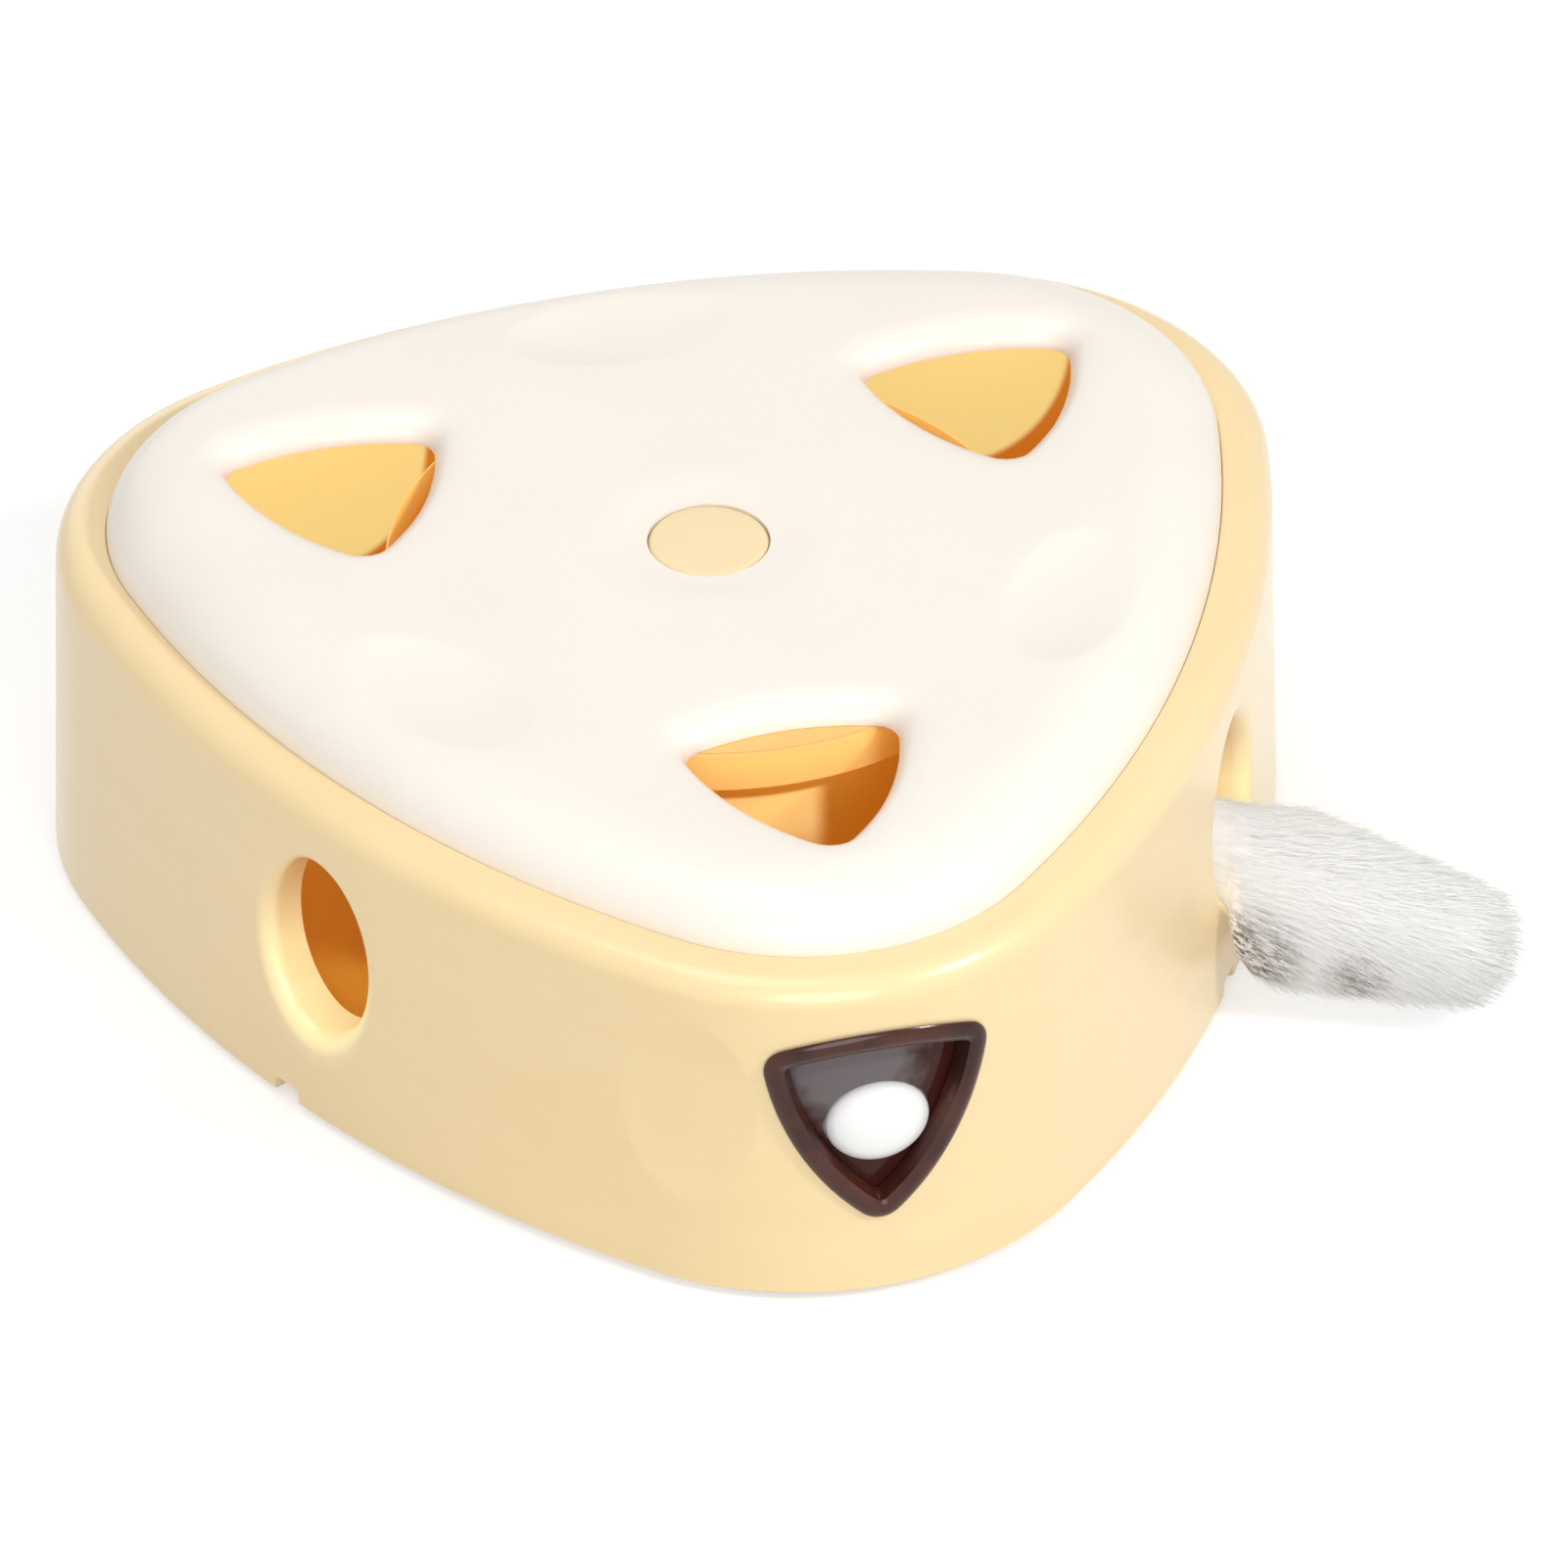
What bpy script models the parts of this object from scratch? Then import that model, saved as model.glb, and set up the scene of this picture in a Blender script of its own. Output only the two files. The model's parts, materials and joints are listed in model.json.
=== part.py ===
# Automatic cat teaser toy: a cheese-shaped case with a fur tail on a driven drum.
# Lengths are in metres and +Z is up. The origin is on the drum's axis, at the floor.
# The front corner, with the sensor window, points along -Y.

import math

import bmesh
import bpy
from mathutils import Vector

# Directions about the drum's axis, in degrees
front = 270.0
third_turn = 120.0
corners = {"front": front, "right": front + third_turn, "left": front + 2 * third_turn}
side_middles = [heading + third_turn / 2 for heading in corners.values()]
tail_heading = front + third_turn / 2

# Case outline, at the line where the white cover meets the yellow shell
corner_spread = 0.0604
corner_round = 0.0430
side_bulge = 0.0086

# Shared heights and walls
case_height = 0.0730
rim_drop = 0.0100
shell_lift = 0.0012
plate_lift = 0.0016
plate_thickness = 0.0024
shell_wall = 0.0024
cover_wall = 0.0020
clearance = 0.0003
overrun = 0.0010
skim = 0.00005

rim_height = case_height - rim_drop
plate_top = plate_lift + plate_thickness
cover_underside = case_height - cover_wall

# Shell: how far its wall stands out past the cover's line
foot_swell = 0.0104
shoulder_swell = 0.0086
shoulder_round = 0.0050
foot_chamfer = 0.0006
rim_edge = 0.0004
cover_lap = 0.0020
ledge_depth = rim_edge + cover_lap + clearance
ledge_reach = 0.0030
ledge_thickness = 0.0016
ledge_slope_drop = 0.0065

# Side holes for the tail, with heights as shares of the rim's
hole_half_width = 0.0115
hole_half_height = 0.27 * rim_height
hole_middle = 0.548 * rim_height
hole_lip = 0.0026
collar_wall = 0.0018
collar_depth = 0.0082

# Blind ovals in the wall, one beside each corner
dimple_half_width = 0.0120
dimple_half_height = 0.286 * rim_height
dimple_middle = 0.571 * rim_height
dimple_depth = 0.0008
dimple_shift = 0.0325

# Pry notches in the shell's lower edge
notch_width = 0.0058
notch_height = 0.0026
notch_shift = 0.0060

# Screw columns inside the shell
column_radius = 0.0050
column_inset = 0.0036
column_top_drop = 0.0090
column_turn = 36.0
pilot_depth = 0.0120

# Pick shape of the three top openings
pick_spread = 0.0160
pick_round = 0.0040
pick_bulge = 0.0022

# Top cover
cover_roll_in = 0.0150
opening_radius = 0.0640
lip_drop = 0.0045
lip_flare = 0.0065
lip_wall = 0.0030
button_radius = 0.0100
button_recess = 0.0010
button_dish = 0.0090
button_dish_depth = 0.0010
button_dish_shares = ((0.25, 0.86), (0.5, 0.5), (0.75, 0.16))
top_dimple_radius = 0.0620
top_dimple_half_length = 0.0195
top_dimple_half_width = 0.0110
top_dimple_depth = 0.0010
hook_width = 0.0080
hook_thickness = 0.0016
hook_gap = 0.0009
hook_barb = 0.0018
hook_barb_height = 0.0012
hook_root_drop = 0.0015
hook_slope_share = 0.75

# Base plate, its screws and its feet
island_radius = 0.0220
spigot_height = 0.0080
screw_shank = 0.0011
screw_head = 0.0026
screw_head_depth = 0.0008
screw_seat_depth = 0.0012
screw_edge_share = 0.8
screw_point_share = 0.3
screw_shank_share = 0.9
foot_radius = 0.0045
foot_pad = 0.0009
foot_neck = 0.0028
foot_stem = 0.0020
foot_bulb = 0.0028
foot_bulb_height = 0.0013
foot_inset = 0.0042
foot_turn = -20.0
foot_edge_share = 0.9

# Centre post, which also carries the leads up to the board
post_bore = 0.0032
post_radius = 0.0050
post_shoulder = 0.0070
post_foot = 0.0090
post_flange = 0.0140
post_flange_depth = 0.0025

# Electronics pod under the cover
pod_radius = 0.0540
pod_wall = 0.0018
pod_floor_drop = 0.0126
pod_boss_radius = 0.0400
boss_radius = 0.0035
board_radius = 0.0330
board_thickness = 0.0012
board_lift = 0.0016
board_pad_radius = 0.0025
board_pad_reach = 0.0280
switch_half = 0.0060
switch_height = 0.0030
plunger_radius = 0.0033
plunger_proud = 0.0006
chip_half_length = 0.0022
chip_half_width = 0.0030
chip_height = 0.0011
chip_reach_share = 0.62
button_travel = 0.0008
button_flange = 0.0020
button_flange_depth = 0.0012

# Rotating drum
drum_radius = 0.0495
drum_wall = 0.0020
drum_bottom = 0.0120
drum_top_drop = 0.0026
drum_roof = 0.0023
drum_edge = 0.0012

# Gears: one module drives the drum, a finer one comes first
drum_teeth = 40
idler_small_teeth = 10
idler_large_teeth = 36
motor_teeth = 10
fine_module_share = 2 / 3
idler_wall_gap = 0.0023
gear_width = 0.0050
fine_gear_width = 0.0040
tooth_play = 0.0003
tip_share = 0.90
root_share = 1.25
wheel_tooth_shares = (0.0, 1.0)
pinion_tooth_shares = (0.0, 0.5, 1.0)
pressure_angle = math.radians(20.0)
gear_hub_wall = 0.0037
gear_hub_drop = 0.0016
gear_flange_radius = 0.0160
gear_flange_depth = 0.0025
gear_neck_length = 0.0067
rotor_screw_radius = 0.0125
washer_thickness = 0.0008
clip_thickness = 0.0010
clip_wall = 0.0027
idler_heading = 20.0
idler_axle_radius = 0.0015
idler_hub_wall = 0.0030
idler_hub_drop = 0.0014
axle_head = 0.0026
axle_head_height = 0.0008
axle_proud = 0.0021

# Gear tray and motor
tray_thickness = 0.0020
tray_reach_share = 0.4
tray_wall_gap = 0.0025
tray_heading_share = 0.4
tray_leg_radius = 0.0030
tray_leg_inset = 0.0015
tray_leg_turns = (-65.0, 95.0)
motor_wall_gap = 0.0085
motor_radius = 0.0060
motor_flat = 0.0050
motor_floor_gap = 0.0007
motor_boss_height = 0.0010
motor_boss_share = 0.5
motor_edge = 0.0005
motor_edge_share = 0.95
motor_screw_share = 0.75
motor_screw_head = 0.0019
motor_screw_height = 0.0006
motor_screw_shank = 0.0009
shaft_hole_radius = 0.0030
gearbox_length = 0.0090
motor_shaft_radius = 0.0015
motor_shaft_flat = 0.0010

# Battery
battery_radius = 0.0071
battery_length = 0.0500
cradle_wall = 0.0014
battery_reach = post_flange + 3 * clearance + cradle_wall + battery_radius
cradle_height_share = 0.55

# Sensor window in the front corner, a pick shape with its sizes as shares of the rim's height
window_spread = 0.273 * rim_height
window_round = 0.0714 * rim_height
window_bulge = 0.0381 * rim_height
window_middle = 0.603 * rim_height
bezel_flange = 0.0010
bezel_play = 0.0005
bezel_seat = 0.0005
bezel_proud = 0.0007
bezel_face = 0.0034
bezel_barrel = 0.0060
bezel_wall = 0.0014
bezel_roll_shares = ((0.15, 0.8), (0.47, 1.0), (0.79, 0.6))
lens_recess = 0.0026
lens_thickness = 0.0012
dome_half_width = 0.146 * rim_height
dome_half_height = 0.114 * rim_height
dome_drop = 0.076 * rim_height
dome_middle = window_middle - dome_drop
dome_shift = 0.0005
dome_rise = 0.0028
dome_wall = 0.0012
dome_flange = 0.0008
plate_shares = (0.12, 0.55, 1.0)
sensor_board_thickness = 0.0012
sensor_can_radius = 0.0042

# Charging socket, low in the back of the shell
socket_heading = 118.0
socket_width = 0.0090
socket_height = 0.0032
socket_length = 0.0075
socket_wall = 0.0004
charge_board_width = 0.0160
charge_board_length = 0.0180
charge_board_thickness = 0.0012
charge_post_height = 0.0016
charge_post_share = 0.38
socket_depth_share = 0.8
tongue_place_share = 0.55
tongue_shares = (0.35, 0.65, 0.2)

# Tail
socket_flange_radius = 0.0062
socket_flange_depth = 0.0015
socket_tube_radius = 0.0038
socket_tube_length = 0.0105
socket_inner_length = 0.0035
socket_mouth_share = 0.85
stick_radius = 0.0015
stick_drop = 0.0045
stick_level = hole_middle - stick_drop
stick_end_depth = 0.0105
tail_root_radius = 0.0095
tail_throat_gap = 0.0013
tail_length = 0.0445
tail_full_radius = 0.0137
tail_root_taper = 0.0020
tail_root_share = 0.7
tail_throat_sag = 0.0020
tail_sag = 0.0085
tail_end_sag = 0.0160
tail_sag_power = 1.6
tail_girth_shares = ((0.08, 0.97), (0.28, 1.0), (0.52, 0.88), (0.74, 0.77), (0.90, 0.66), (1.0, 0.36))

# A dish's section, as shares of its half width and depth
dish_shares = ((0.35, 1.0), (0.75, 0.62), (1.0, 0.0), (1.12, -0.5))

# Facets
corner_steps = 6
side_steps = 6
shoulder_steps = 3
cover_under_steps = 3
cover_top_steps = 6
pick_corner_steps = 3
pick_side_steps = 4
large_steps = 32
button_steps = 24
round_steps = 16
oval_steps = 16
bore_steps = 12
lip_steps = 2
dome_steps = 3
foot_steps = 8
screw_steps = 6
smooth_angle = math.radians(35.0)


# Small helpers for directions and outlines

def towards(heading):
    turn = math.radians(heading)
    return Vector((math.cos(turn), math.sin(turn), 0.0))


def across(heading):
    return towards(heading + 90.0)


def spot(heading, reach, height=0.0):
    return towards(heading) * reach + Vector((0.0, 0.0, height))


def rounded_triangle(spread, rounding, bulge, heading, steps_round, steps_side):
    """Triangle with round corners and bowed sides, anticlockwise, as (x, y) pairs."""
    side_radius = rounding + bulge / 2 + 3 * spread * spread / (8 * bulge)
    side_setback = side_radius - (spread / 2 + rounding + bulge)
    half_chord = math.sqrt(3.0) / 2 * spread
    side_half = math.degrees(math.atan2(half_chord, spread / 2 + side_setback))
    corner_half = third_turn / 2 - side_half
    points = []
    for corner in range(3):
        aim = heading + corner * third_turn
        for step in range(steps_round + 1):
            turn = aim + corner_half * (2 * step / steps_round - 1)
            points.append(towards(aim) * spread + towards(turn) * rounding)
        middle = aim + third_turn / 2
        for step in range(1, steps_side):
            turn = middle + side_half * (2 * step / steps_side - 1)
            points.append(towards(turn) * side_radius - towards(middle) * side_setback)
    return [(point.x, point.y) for point in points]


def side_reach(swell=0.0):
    return corner_spread / 2 + corner_round + side_bulge + swell


def case_ring(swell, height):
    outline = rounded_triangle(corner_spread, corner_round + swell, side_bulge, front,
                               corner_steps, side_steps)
    return [Vector((x, y, height)) for x, y in outline]


def circle_ring(radius, height, steps=round_steps, centre=(0.0, 0.0)):
    turns = [2 * math.pi * step / steps for step in range(steps)]
    return [Vector((centre[0] + radius * math.cos(turn), centre[1] + radius * math.sin(turn), height))
            for turn in turns]


def arc(centre_x, centre_y, radius_x, radius_y, start, stop, steps):
    """Points of an elliptical arc, angles in degrees."""
    turns = [math.radians(start + (stop - start) * step / steps) for step in range(steps + 1)]
    return [(centre_x + radius_x * math.cos(turn), centre_y + radius_y * math.sin(turn))
            for turn in turns]


def wall_swell(height):
    """How far the shell's outer wall stands past the cover's line at a height."""
    share = (height - shell_lift) / (rim_height - shoulder_round - shell_lift)
    return foot_swell + (shoulder_swell - foot_swell) * share


# Making, joining and cutting solids

def loft(name, rings, closed=False):
    """Solid through rings of equal point counts, capped at both ends or closed round."""
    shape = bmesh.new()
    loops = [[shape.verts.new(point) for point in ring] for ring in rings]
    following = loops[1:] + loops[:1] if closed else loops[1:]
    for lower, upper in zip(loops, following):
        for here in range(len(lower)):
            there = (here + 1) % len(lower)
            shape.faces.new((lower[here], lower[there], upper[there], upper[here]))
    if not closed:
        shape.faces.new(loops[0])
        shape.faces.new(loops[-1])
    bmesh.ops.recalc_face_normals(shape, faces=shape.faces)
    mesh = bpy.data.meshes.new(name)
    shape.to_mesh(mesh)
    shape.free()
    piece = bpy.data.objects.new(name, mesh)
    bpy.context.scene.collection.objects.link(piece)
    return piece


def turned(name, profile, steps=round_steps, closed=False, centre=(0.0, 0.0)):
    """Turned solid from (radius, height) points; a closed profile makes a tube."""
    rings = [circle_ring(radius, height, steps, centre) for radius, height in profile]
    return loft(name, rings, closed)


def rod(name, radius, bottom, top, steps=round_steps, centre=(0.0, 0.0)):
    return turned(name, [(radius, bottom), (radius, top)], steps, False, centre)


def tube(name, inner, outer, bottom, top, steps=round_steps, centre=(0.0, 0.0)):
    profile = [(outer, bottom), (outer, top), (inner, top), (inner, bottom)]
    return turned(name, profile, steps, True, centre)


def block(name, centre, along, half_along, half_across, bottom, top):
    """Box whose long side points along a heading."""
    ahead = towards(along) * half_along
    aside = across(along) * half_across
    corners_flat = [ahead + aside, aside - ahead, -ahead - aside, ahead - aside]
    rings = [[Vector((centre[0], centre[1], height)) + corner for corner in corners_flat]
             for height in (bottom, top)]
    return loft(name, rings)


def combine(piece, tool, operation):
    """Boolean with the exact solver; the tool is used up."""
    step = piece.modifiers.new(operation, "BOOLEAN")
    step.operation = operation
    step.solver = "EXACT"
    step.object = tool
    bpy.context.view_layer.update()
    evaluated = piece.evaluated_get(bpy.context.evaluated_depsgraph_get())
    result = bpy.data.meshes.new_from_object(evaluated)
    piece.modifiers.clear()
    old_mesh = piece.data
    piece.data = result
    bpy.data.meshes.remove(old_mesh)
    tool_mesh = tool.data
    bpy.data.objects.remove(tool)
    bpy.data.meshes.remove(tool_mesh)
    return piece


def cut(piece, tool):
    return combine(piece, tool, "DIFFERENCE")


def weld(piece, tool):
    return combine(piece, tool, "UNION")


def material(name, colour, roughness, metallic=0.0, transmission=0.0):
    made = bpy.data.materials.get(name)
    if made is None:
        made = bpy.data.materials.new(name)
        made.use_nodes = True
        surface = made.node_tree.nodes["Principled BSDF"]
        surface.inputs["Base Color"].default_value = (*colour, 1.0)
        surface.inputs["Roughness"].default_value = roughness
        surface.inputs["Metallic"].default_value = metallic
        surface.inputs["Transmission Weight"].default_value = transmission
        made.diffuse_color = (*colour, 1.0)
    return made


def finish(piece, name, look, axis=None):
    """Name a piece, give it its material and hang it on its axis."""
    piece.name = name
    piece.data.name = name
    piece.data.materials.clear()
    piece.data.materials.append(look)
    piece.data.shade_smooth()
    piece.data.set_sharp_from_angle(angle=smooth_angle)
    if axis is not None:
        piece.parent = axis
    return piece


def axis_empty(name, location):
    empty = bpy.data.objects.new(name, None)
    empty.empty_display_size = drum_radius / 4
    empty.location = location
    bpy.context.scene.collection.objects.link(empty)
    return empty


# Materials

def yellow_plastic():
    return material("yellow_plastic", (0.90, 0.66, 0.33), 0.32)


def white_plastic():
    return material("white_plastic", (0.90, 0.86, 0.80), 0.35)


def inner_plastic():
    return material("inner_plastic", (0.88, 0.58, 0.22), 0.42)


def dark_plastic():
    return material("dark_plastic", (0.06, 0.03, 0.02), 0.18)


def tinted_glass():
    return material("tinted_glass", (0.18, 0.15, 0.15), 0.08, transmission=0.4)


def milky_plastic():
    return material("milky_plastic", (0.92, 0.92, 0.90), 0.25)


def rubber():
    return material("rubber", (0.05, 0.05, 0.05), 0.80)


def steel():
    return material("steel", (0.55, 0.55, 0.56), 0.30, 1.0)


def brass():
    return material("brass", (0.72, 0.53, 0.25), 0.30, 1.0)


def nylon():
    return material("nylon", (0.82, 0.82, 0.79), 0.45)


def circuit_board():
    return material("circuit_board", (0.03, 0.20, 0.09), 0.50)


def battery_wrap():
    return material("battery_wrap", (0.08, 0.18, 0.45), 0.35)


def white_fur():
    return material("white_fur", (0.86, 0.85, 0.83), 0.90)


# Body shell

def shell_profile():
    """Closed section of the shell as (swell, height), outside first."""
    shoulder = rim_height - shoulder_round
    ledge_top = rim_height - ledge_depth
    ledge_under = ledge_top - ledge_thickness
    slope_foot = ledge_under - ledge_slope_drop
    profile = [(foot_swell - foot_chamfer, shell_lift), (foot_swell, shell_lift + foot_chamfer)]
    profile += arc(shoulder_swell - shoulder_round, shoulder, shoulder_round, shoulder_round,
                   0, 90, shoulder_steps)
    profile += [(clearance + rim_edge, rim_height), (clearance, rim_height - rim_edge)]
    profile += [(clearance, ledge_top), (-ledge_reach, ledge_top), (-ledge_reach, ledge_under),
                (hook_barb - ledge_reach + 2 * clearance, ledge_under)]
    profile += [(wall_swell(slope_foot) - shell_wall, slope_foot)]
    profile += [(foot_swell - shell_wall, shell_lift)]
    return profile


def oval_ring(heading, reach, half_width, half_height, middle, steps=oval_steps):
    """Upright oval standing square to a heading, at a distance from the axis."""
    turns = [2 * math.pi * step / steps for step in range(steps)]
    return [spot(heading, reach, middle + half_height * math.sin(turn))
            + across(heading) * (half_width * math.cos(turn)) for turn in turns]


def tunnel(heading):
    """Way through the wall and collar, flared to a soft lip outside."""
    outer = side_reach(wall_swell(hole_middle))
    inner = outer - collar_depth - overrun
    rings = [oval_ring(heading, inner, hole_half_width, hole_half_height, hole_middle)]
    for step in range(lip_steps + 1):
        turn = math.radians(90.0 * step / lip_steps)
        grow = hole_lip * (1 - math.cos(turn))
        reach = outer - hole_lip + hole_lip * math.sin(turn)
        rings.append(oval_ring(heading, reach, hole_half_width + grow,
                               hole_half_height + grow, hole_middle))
    grow = hole_lip + overrun
    rings.append(oval_ring(heading, outer + overrun, hole_half_width + grow,
                           hole_half_height + grow, hole_middle))
    return loft("tunnel", rings)


def collar(heading):
    outer = side_reach(wall_swell(hole_middle))
    half_width = hole_half_width + collar_wall
    half_height = hole_half_height + collar_wall
    rings = [oval_ring(heading, reach, half_width, half_height, hole_middle)
             for reach in (outer - collar_depth, outer - shell_wall / 2)]
    return loft("collar", rings)


def corner_point(heading, along, height, depth):
    """Point on a corner's round wall: along it, at a height, and into it by depth."""
    radius = corner_round + wall_swell(height)
    turn = heading + math.degrees(along / (corner_round + foot_swell))
    return towards(heading) * corner_spread + towards(turn) * (radius - depth) + Vector((0, 0, height))


def wall_dimple(heading):
    """Shallow blind oval beside a corner, pressed into the curved wall."""
    rings = []
    for share, sink in dish_shares + ((dish_shares[-1][0], -2 * shell_wall / dimple_depth),):
        ring = []
        for step in range(oval_steps):
            turn = 2 * math.pi * step / oval_steps
            along = -dimple_shift + share * dimple_half_width * math.cos(turn)
            height = dimple_middle + share * dimple_half_height * math.sin(turn)
            ring.append(corner_point(heading, along, height, sink * dimple_depth))
        rings.append(ring)
    return loft("wall_dimple", rings)


def column_places():
    reach_out = corner_round + column_inset
    return [spot(heading, corner_spread) + towards(heading + column_turn) * reach_out
            for heading in corners.values()]


def body_shell():
    shell = loft("body_shell", [case_ring(swell, height) for swell, height in shell_profile()], True)
    bottom = plate_top + clearance
    for place in column_places():
        weld(shell, rod("column", column_radius, bottom, rim_height - column_top_drop, bore_steps,
                        (place.x, place.y)))
    for heading in side_middles:
        weld(shell, collar(heading))
        cut(shell, tunnel(heading))
        notch = spot(heading, side_reach(foot_swell)) - across(heading) * notch_shift
        cut(shell, block("notch", notch, heading, shell_wall * 2, notch_width / 2,
                         -overrun, shell_lift + notch_height))
    for heading in corners.values():
        cut(shell, wall_dimple(heading))
    for place in column_places():
        cut(shell, rod("pilot", screw_shank + clearance, bottom - overrun, bottom + pilot_depth,
                       screw_steps, (place.x, place.y)))
    cut(shell, window_cutter())
    cut(shell, socket_cutter())
    return finish(shell, "body_shell", yellow_plastic())


# Pick-shaped outlines

def pick_outline(swell, heading):
    return rounded_triangle(pick_spread, pick_round + swell, pick_bulge, heading,
                            pick_corner_steps, pick_side_steps)


def pick_ring(heading, swell, height):
    centre = spot(heading, opening_radius)
    return [Vector((centre.x + x, centre.y + y, height)) for x, y in pick_outline(swell, heading)]


def window_outline(swell):
    return rounded_triangle(window_spread, window_round + swell, window_bulge, front,
                            pick_corner_steps, pick_side_steps)


def window_ring(swell, depth, share=1.0):
    """Pick outline wrapped on the front corner, pointing down."""
    return [corner_point(front, share * x, window_middle + share * y, depth)
            for x, y in window_outline(swell)]


# Top cover

def cover_rings():
    """From the middle of the underside, round the edge, to the plateau."""
    line = rim_height - rim_edge
    rise_out = case_height - line
    rise_in = cover_underside - line
    lower = line - cover_lap
    inner = arc(-cover_roll_in, line, cover_roll_in - cover_wall, rise_in, 90, 0,
                cover_under_steps)
    outer = arc(-cover_roll_in, line, cover_roll_in, rise_out, 0, 90, cover_top_steps)
    profile = inner + [(-cover_wall, lower), (0.0, lower)] + outer
    return [case_ring(swell, height) for swell, height in profile]


def opening_lip(heading):
    rings = [pick_ring(heading, lip_wall, height)
             for height in (case_height - lip_drop, case_height - cover_wall / 2)]
    return loft("lip", rings)


def opening_cutter(heading):
    throat = case_height - lip_drop
    rings = [pick_ring(heading, 0.0, throat - overrun)]
    for step in range(lip_steps + 1):
        turn = math.radians(90.0 * step / lip_steps)
        rings.append(pick_ring(heading, lip_flare * (1 - math.cos(turn)),
                               throat + (lip_drop + skim) * math.sin(turn)))
    rings.append(pick_ring(heading, lip_flare + overrun, case_height + overrun))
    return loft("opening", rings)


def top_dimple(heading):
    middle = spot(heading, top_dimple_radius)
    rings = []
    for share, sink in dish_shares:
        height = case_height - sink * top_dimple_depth
        ring = []
        for step in range(oval_steps):
            turn = 2 * math.pi * step / oval_steps
            offset = (towards(heading) * (share * top_dimple_half_width * math.cos(turn))
                      + across(heading) * (share * top_dimple_half_length * math.sin(turn)))
            ring.append(middle + offset + Vector((0, 0, height)))
        rings.append(ring)
    return loft("top_dimple", rings)


def hook(heading, reach):
    """Snap hook under the cover's edge, with a barb that catches under the ledge."""
    ledge_under = rim_height - ledge_depth - ledge_thickness
    barb_top = ledge_under - clearance
    face = reach - ledge_reach - hook_gap
    back = face - hook_thickness
    lip = face + hook_barb
    low = barb_top - 2 * hook_barb_height
    section = [(back, cover_underside - hook_root_drop), (back, low), (face, low),
               (lip, barb_top - hook_barb_height / 2), (lip, barb_top), (face, barb_top),
               (face, cover_underside - hook_root_drop - hook_thickness * hook_slope_share)]
    rings = [[spot(heading, out, height) + across(heading) * side for out, height in section]
             for side in (-hook_width / 2, hook_width / 2)]
    return loft("hook", rings)


def top_cover():
    cover = loft("top_cover", cover_rings())
    floor_top = case_height - pod_floor_drop + pod_wall
    for heading in side_middles:
        place = spot(heading, pod_boss_radius)
        weld(cover, rod("boss", boss_radius, floor_top + clearance, cover_underside + cover_wall / 2,
                        bore_steps, (place.x, place.y)))
        cut(cover, rod("pilot", screw_shank + clearance, floor_top - overrun,
                       cover_underside - cover_wall, screw_steps, (place.x, place.y)))
        weld(cover, hook(heading, side_reach()))
        cut(cover, top_dimple(heading))
    for heading in corners.values():
        weld(cover, hook(heading, corner_spread + corner_round))
        weld(cover, opening_lip(heading))
        cut(cover, opening_cutter(heading))
    bore = button_radius + clearance
    dish = [(bore, cover_underside - overrun), (bore, case_height - button_dish_depth)]
    dish += [(bore + button_dish * out_share, case_height - button_dish_depth * sink_share)
             for out_share, sink_share in button_dish_shares]
    dish += [(bore + button_dish, case_height + skim),
            (bore + button_dish + overrun, case_height + overrun)]
    cut(cover, turned("button_hole", dish, button_steps))
    return finish(cover, "top_cover", white_plastic())


# Base plate, feet and their screws

def foot_places():
    reach_out = corner_round + foot_inset
    return {name: spot(heading, corner_spread) + towards(heading + foot_turn) * reach_out
            for name, heading in corners.items()}


def base_plate():
    edge = foot_swell - shell_wall - clearance
    plate = loft("base_plate", [case_ring(edge, plate_lift), case_ring(edge, plate_top)])
    weld(plate, rod("island", island_radius, 0.0, plate_lift + overrun / 2, large_steps))
    weld(plate, rod("spigot", post_bore - clearance, plate_top - overrun / 2, plate_top + spigot_height))
    for place in foot_places().values():
        cut(plate, rod("foot_hole", foot_stem + clearance, plate_lift - overrun, plate_top + overrun,
                       foot_steps, (place.x, place.y)))
    seat = plate_lift + screw_seat_depth
    for place in column_places():
        stepped = [(screw_head + clearance, plate_lift - overrun), (screw_head + clearance, seat),
                   (screw_shank + clearance, seat), (screw_shank + clearance, plate_top + overrun)]
        cut(plate, turned("screw_seat", stepped, foot_steps, False, (place.x, place.y)))
    return finish(plate, "base_plate", yellow_plastic())


def screw(place, head_bottom, length, pointing_up=True):
    """Pan-head screw; its head is at the lower end when it points up."""
    way = 1 if pointing_up else -1
    head_top = head_bottom + way * screw_head_depth
    profile = [(screw_head * screw_edge_share, head_bottom),
               (screw_head, head_bottom + way * screw_head_depth / 3), (screw_head, head_top),
               (screw_shank, head_top), (screw_shank, head_top + way * length * screw_shank_share),
               (screw_shank * screw_point_share, head_top + way * length)]
    return turned("screw", profile, screw_steps, False, (place.x, place.y))


def base_screws():
    head_bottom = plate_lift + screw_seat_depth - clearance - screw_head_depth
    length = plate_top + clearance + pilot_depth - overrun - head_bottom - screw_head_depth
    for number, place in enumerate(column_places(), 1):
        finish(screw(place, head_bottom, length), f"base_screw_{number}", steel())


def rubber_foot(name, place):
    profile = [(foot_radius * foot_edge_share, 0.0), (foot_radius, foot_pad / 3), (foot_radius, foot_pad),
               (foot_neck, foot_pad), (foot_neck, plate_lift - clearance),
               (foot_stem, plate_lift - clearance), (foot_stem, plate_top + clearance),
               (foot_bulb, plate_top + clearance), (foot_stem, plate_top + clearance + foot_bulb_height)]
    foot = turned(name, profile, foot_steps, False, (place.x, place.y))
    return finish(foot, name, rubber())


# Levels of the drive, from the drum down to the motor, which fills what is left over the base

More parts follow.
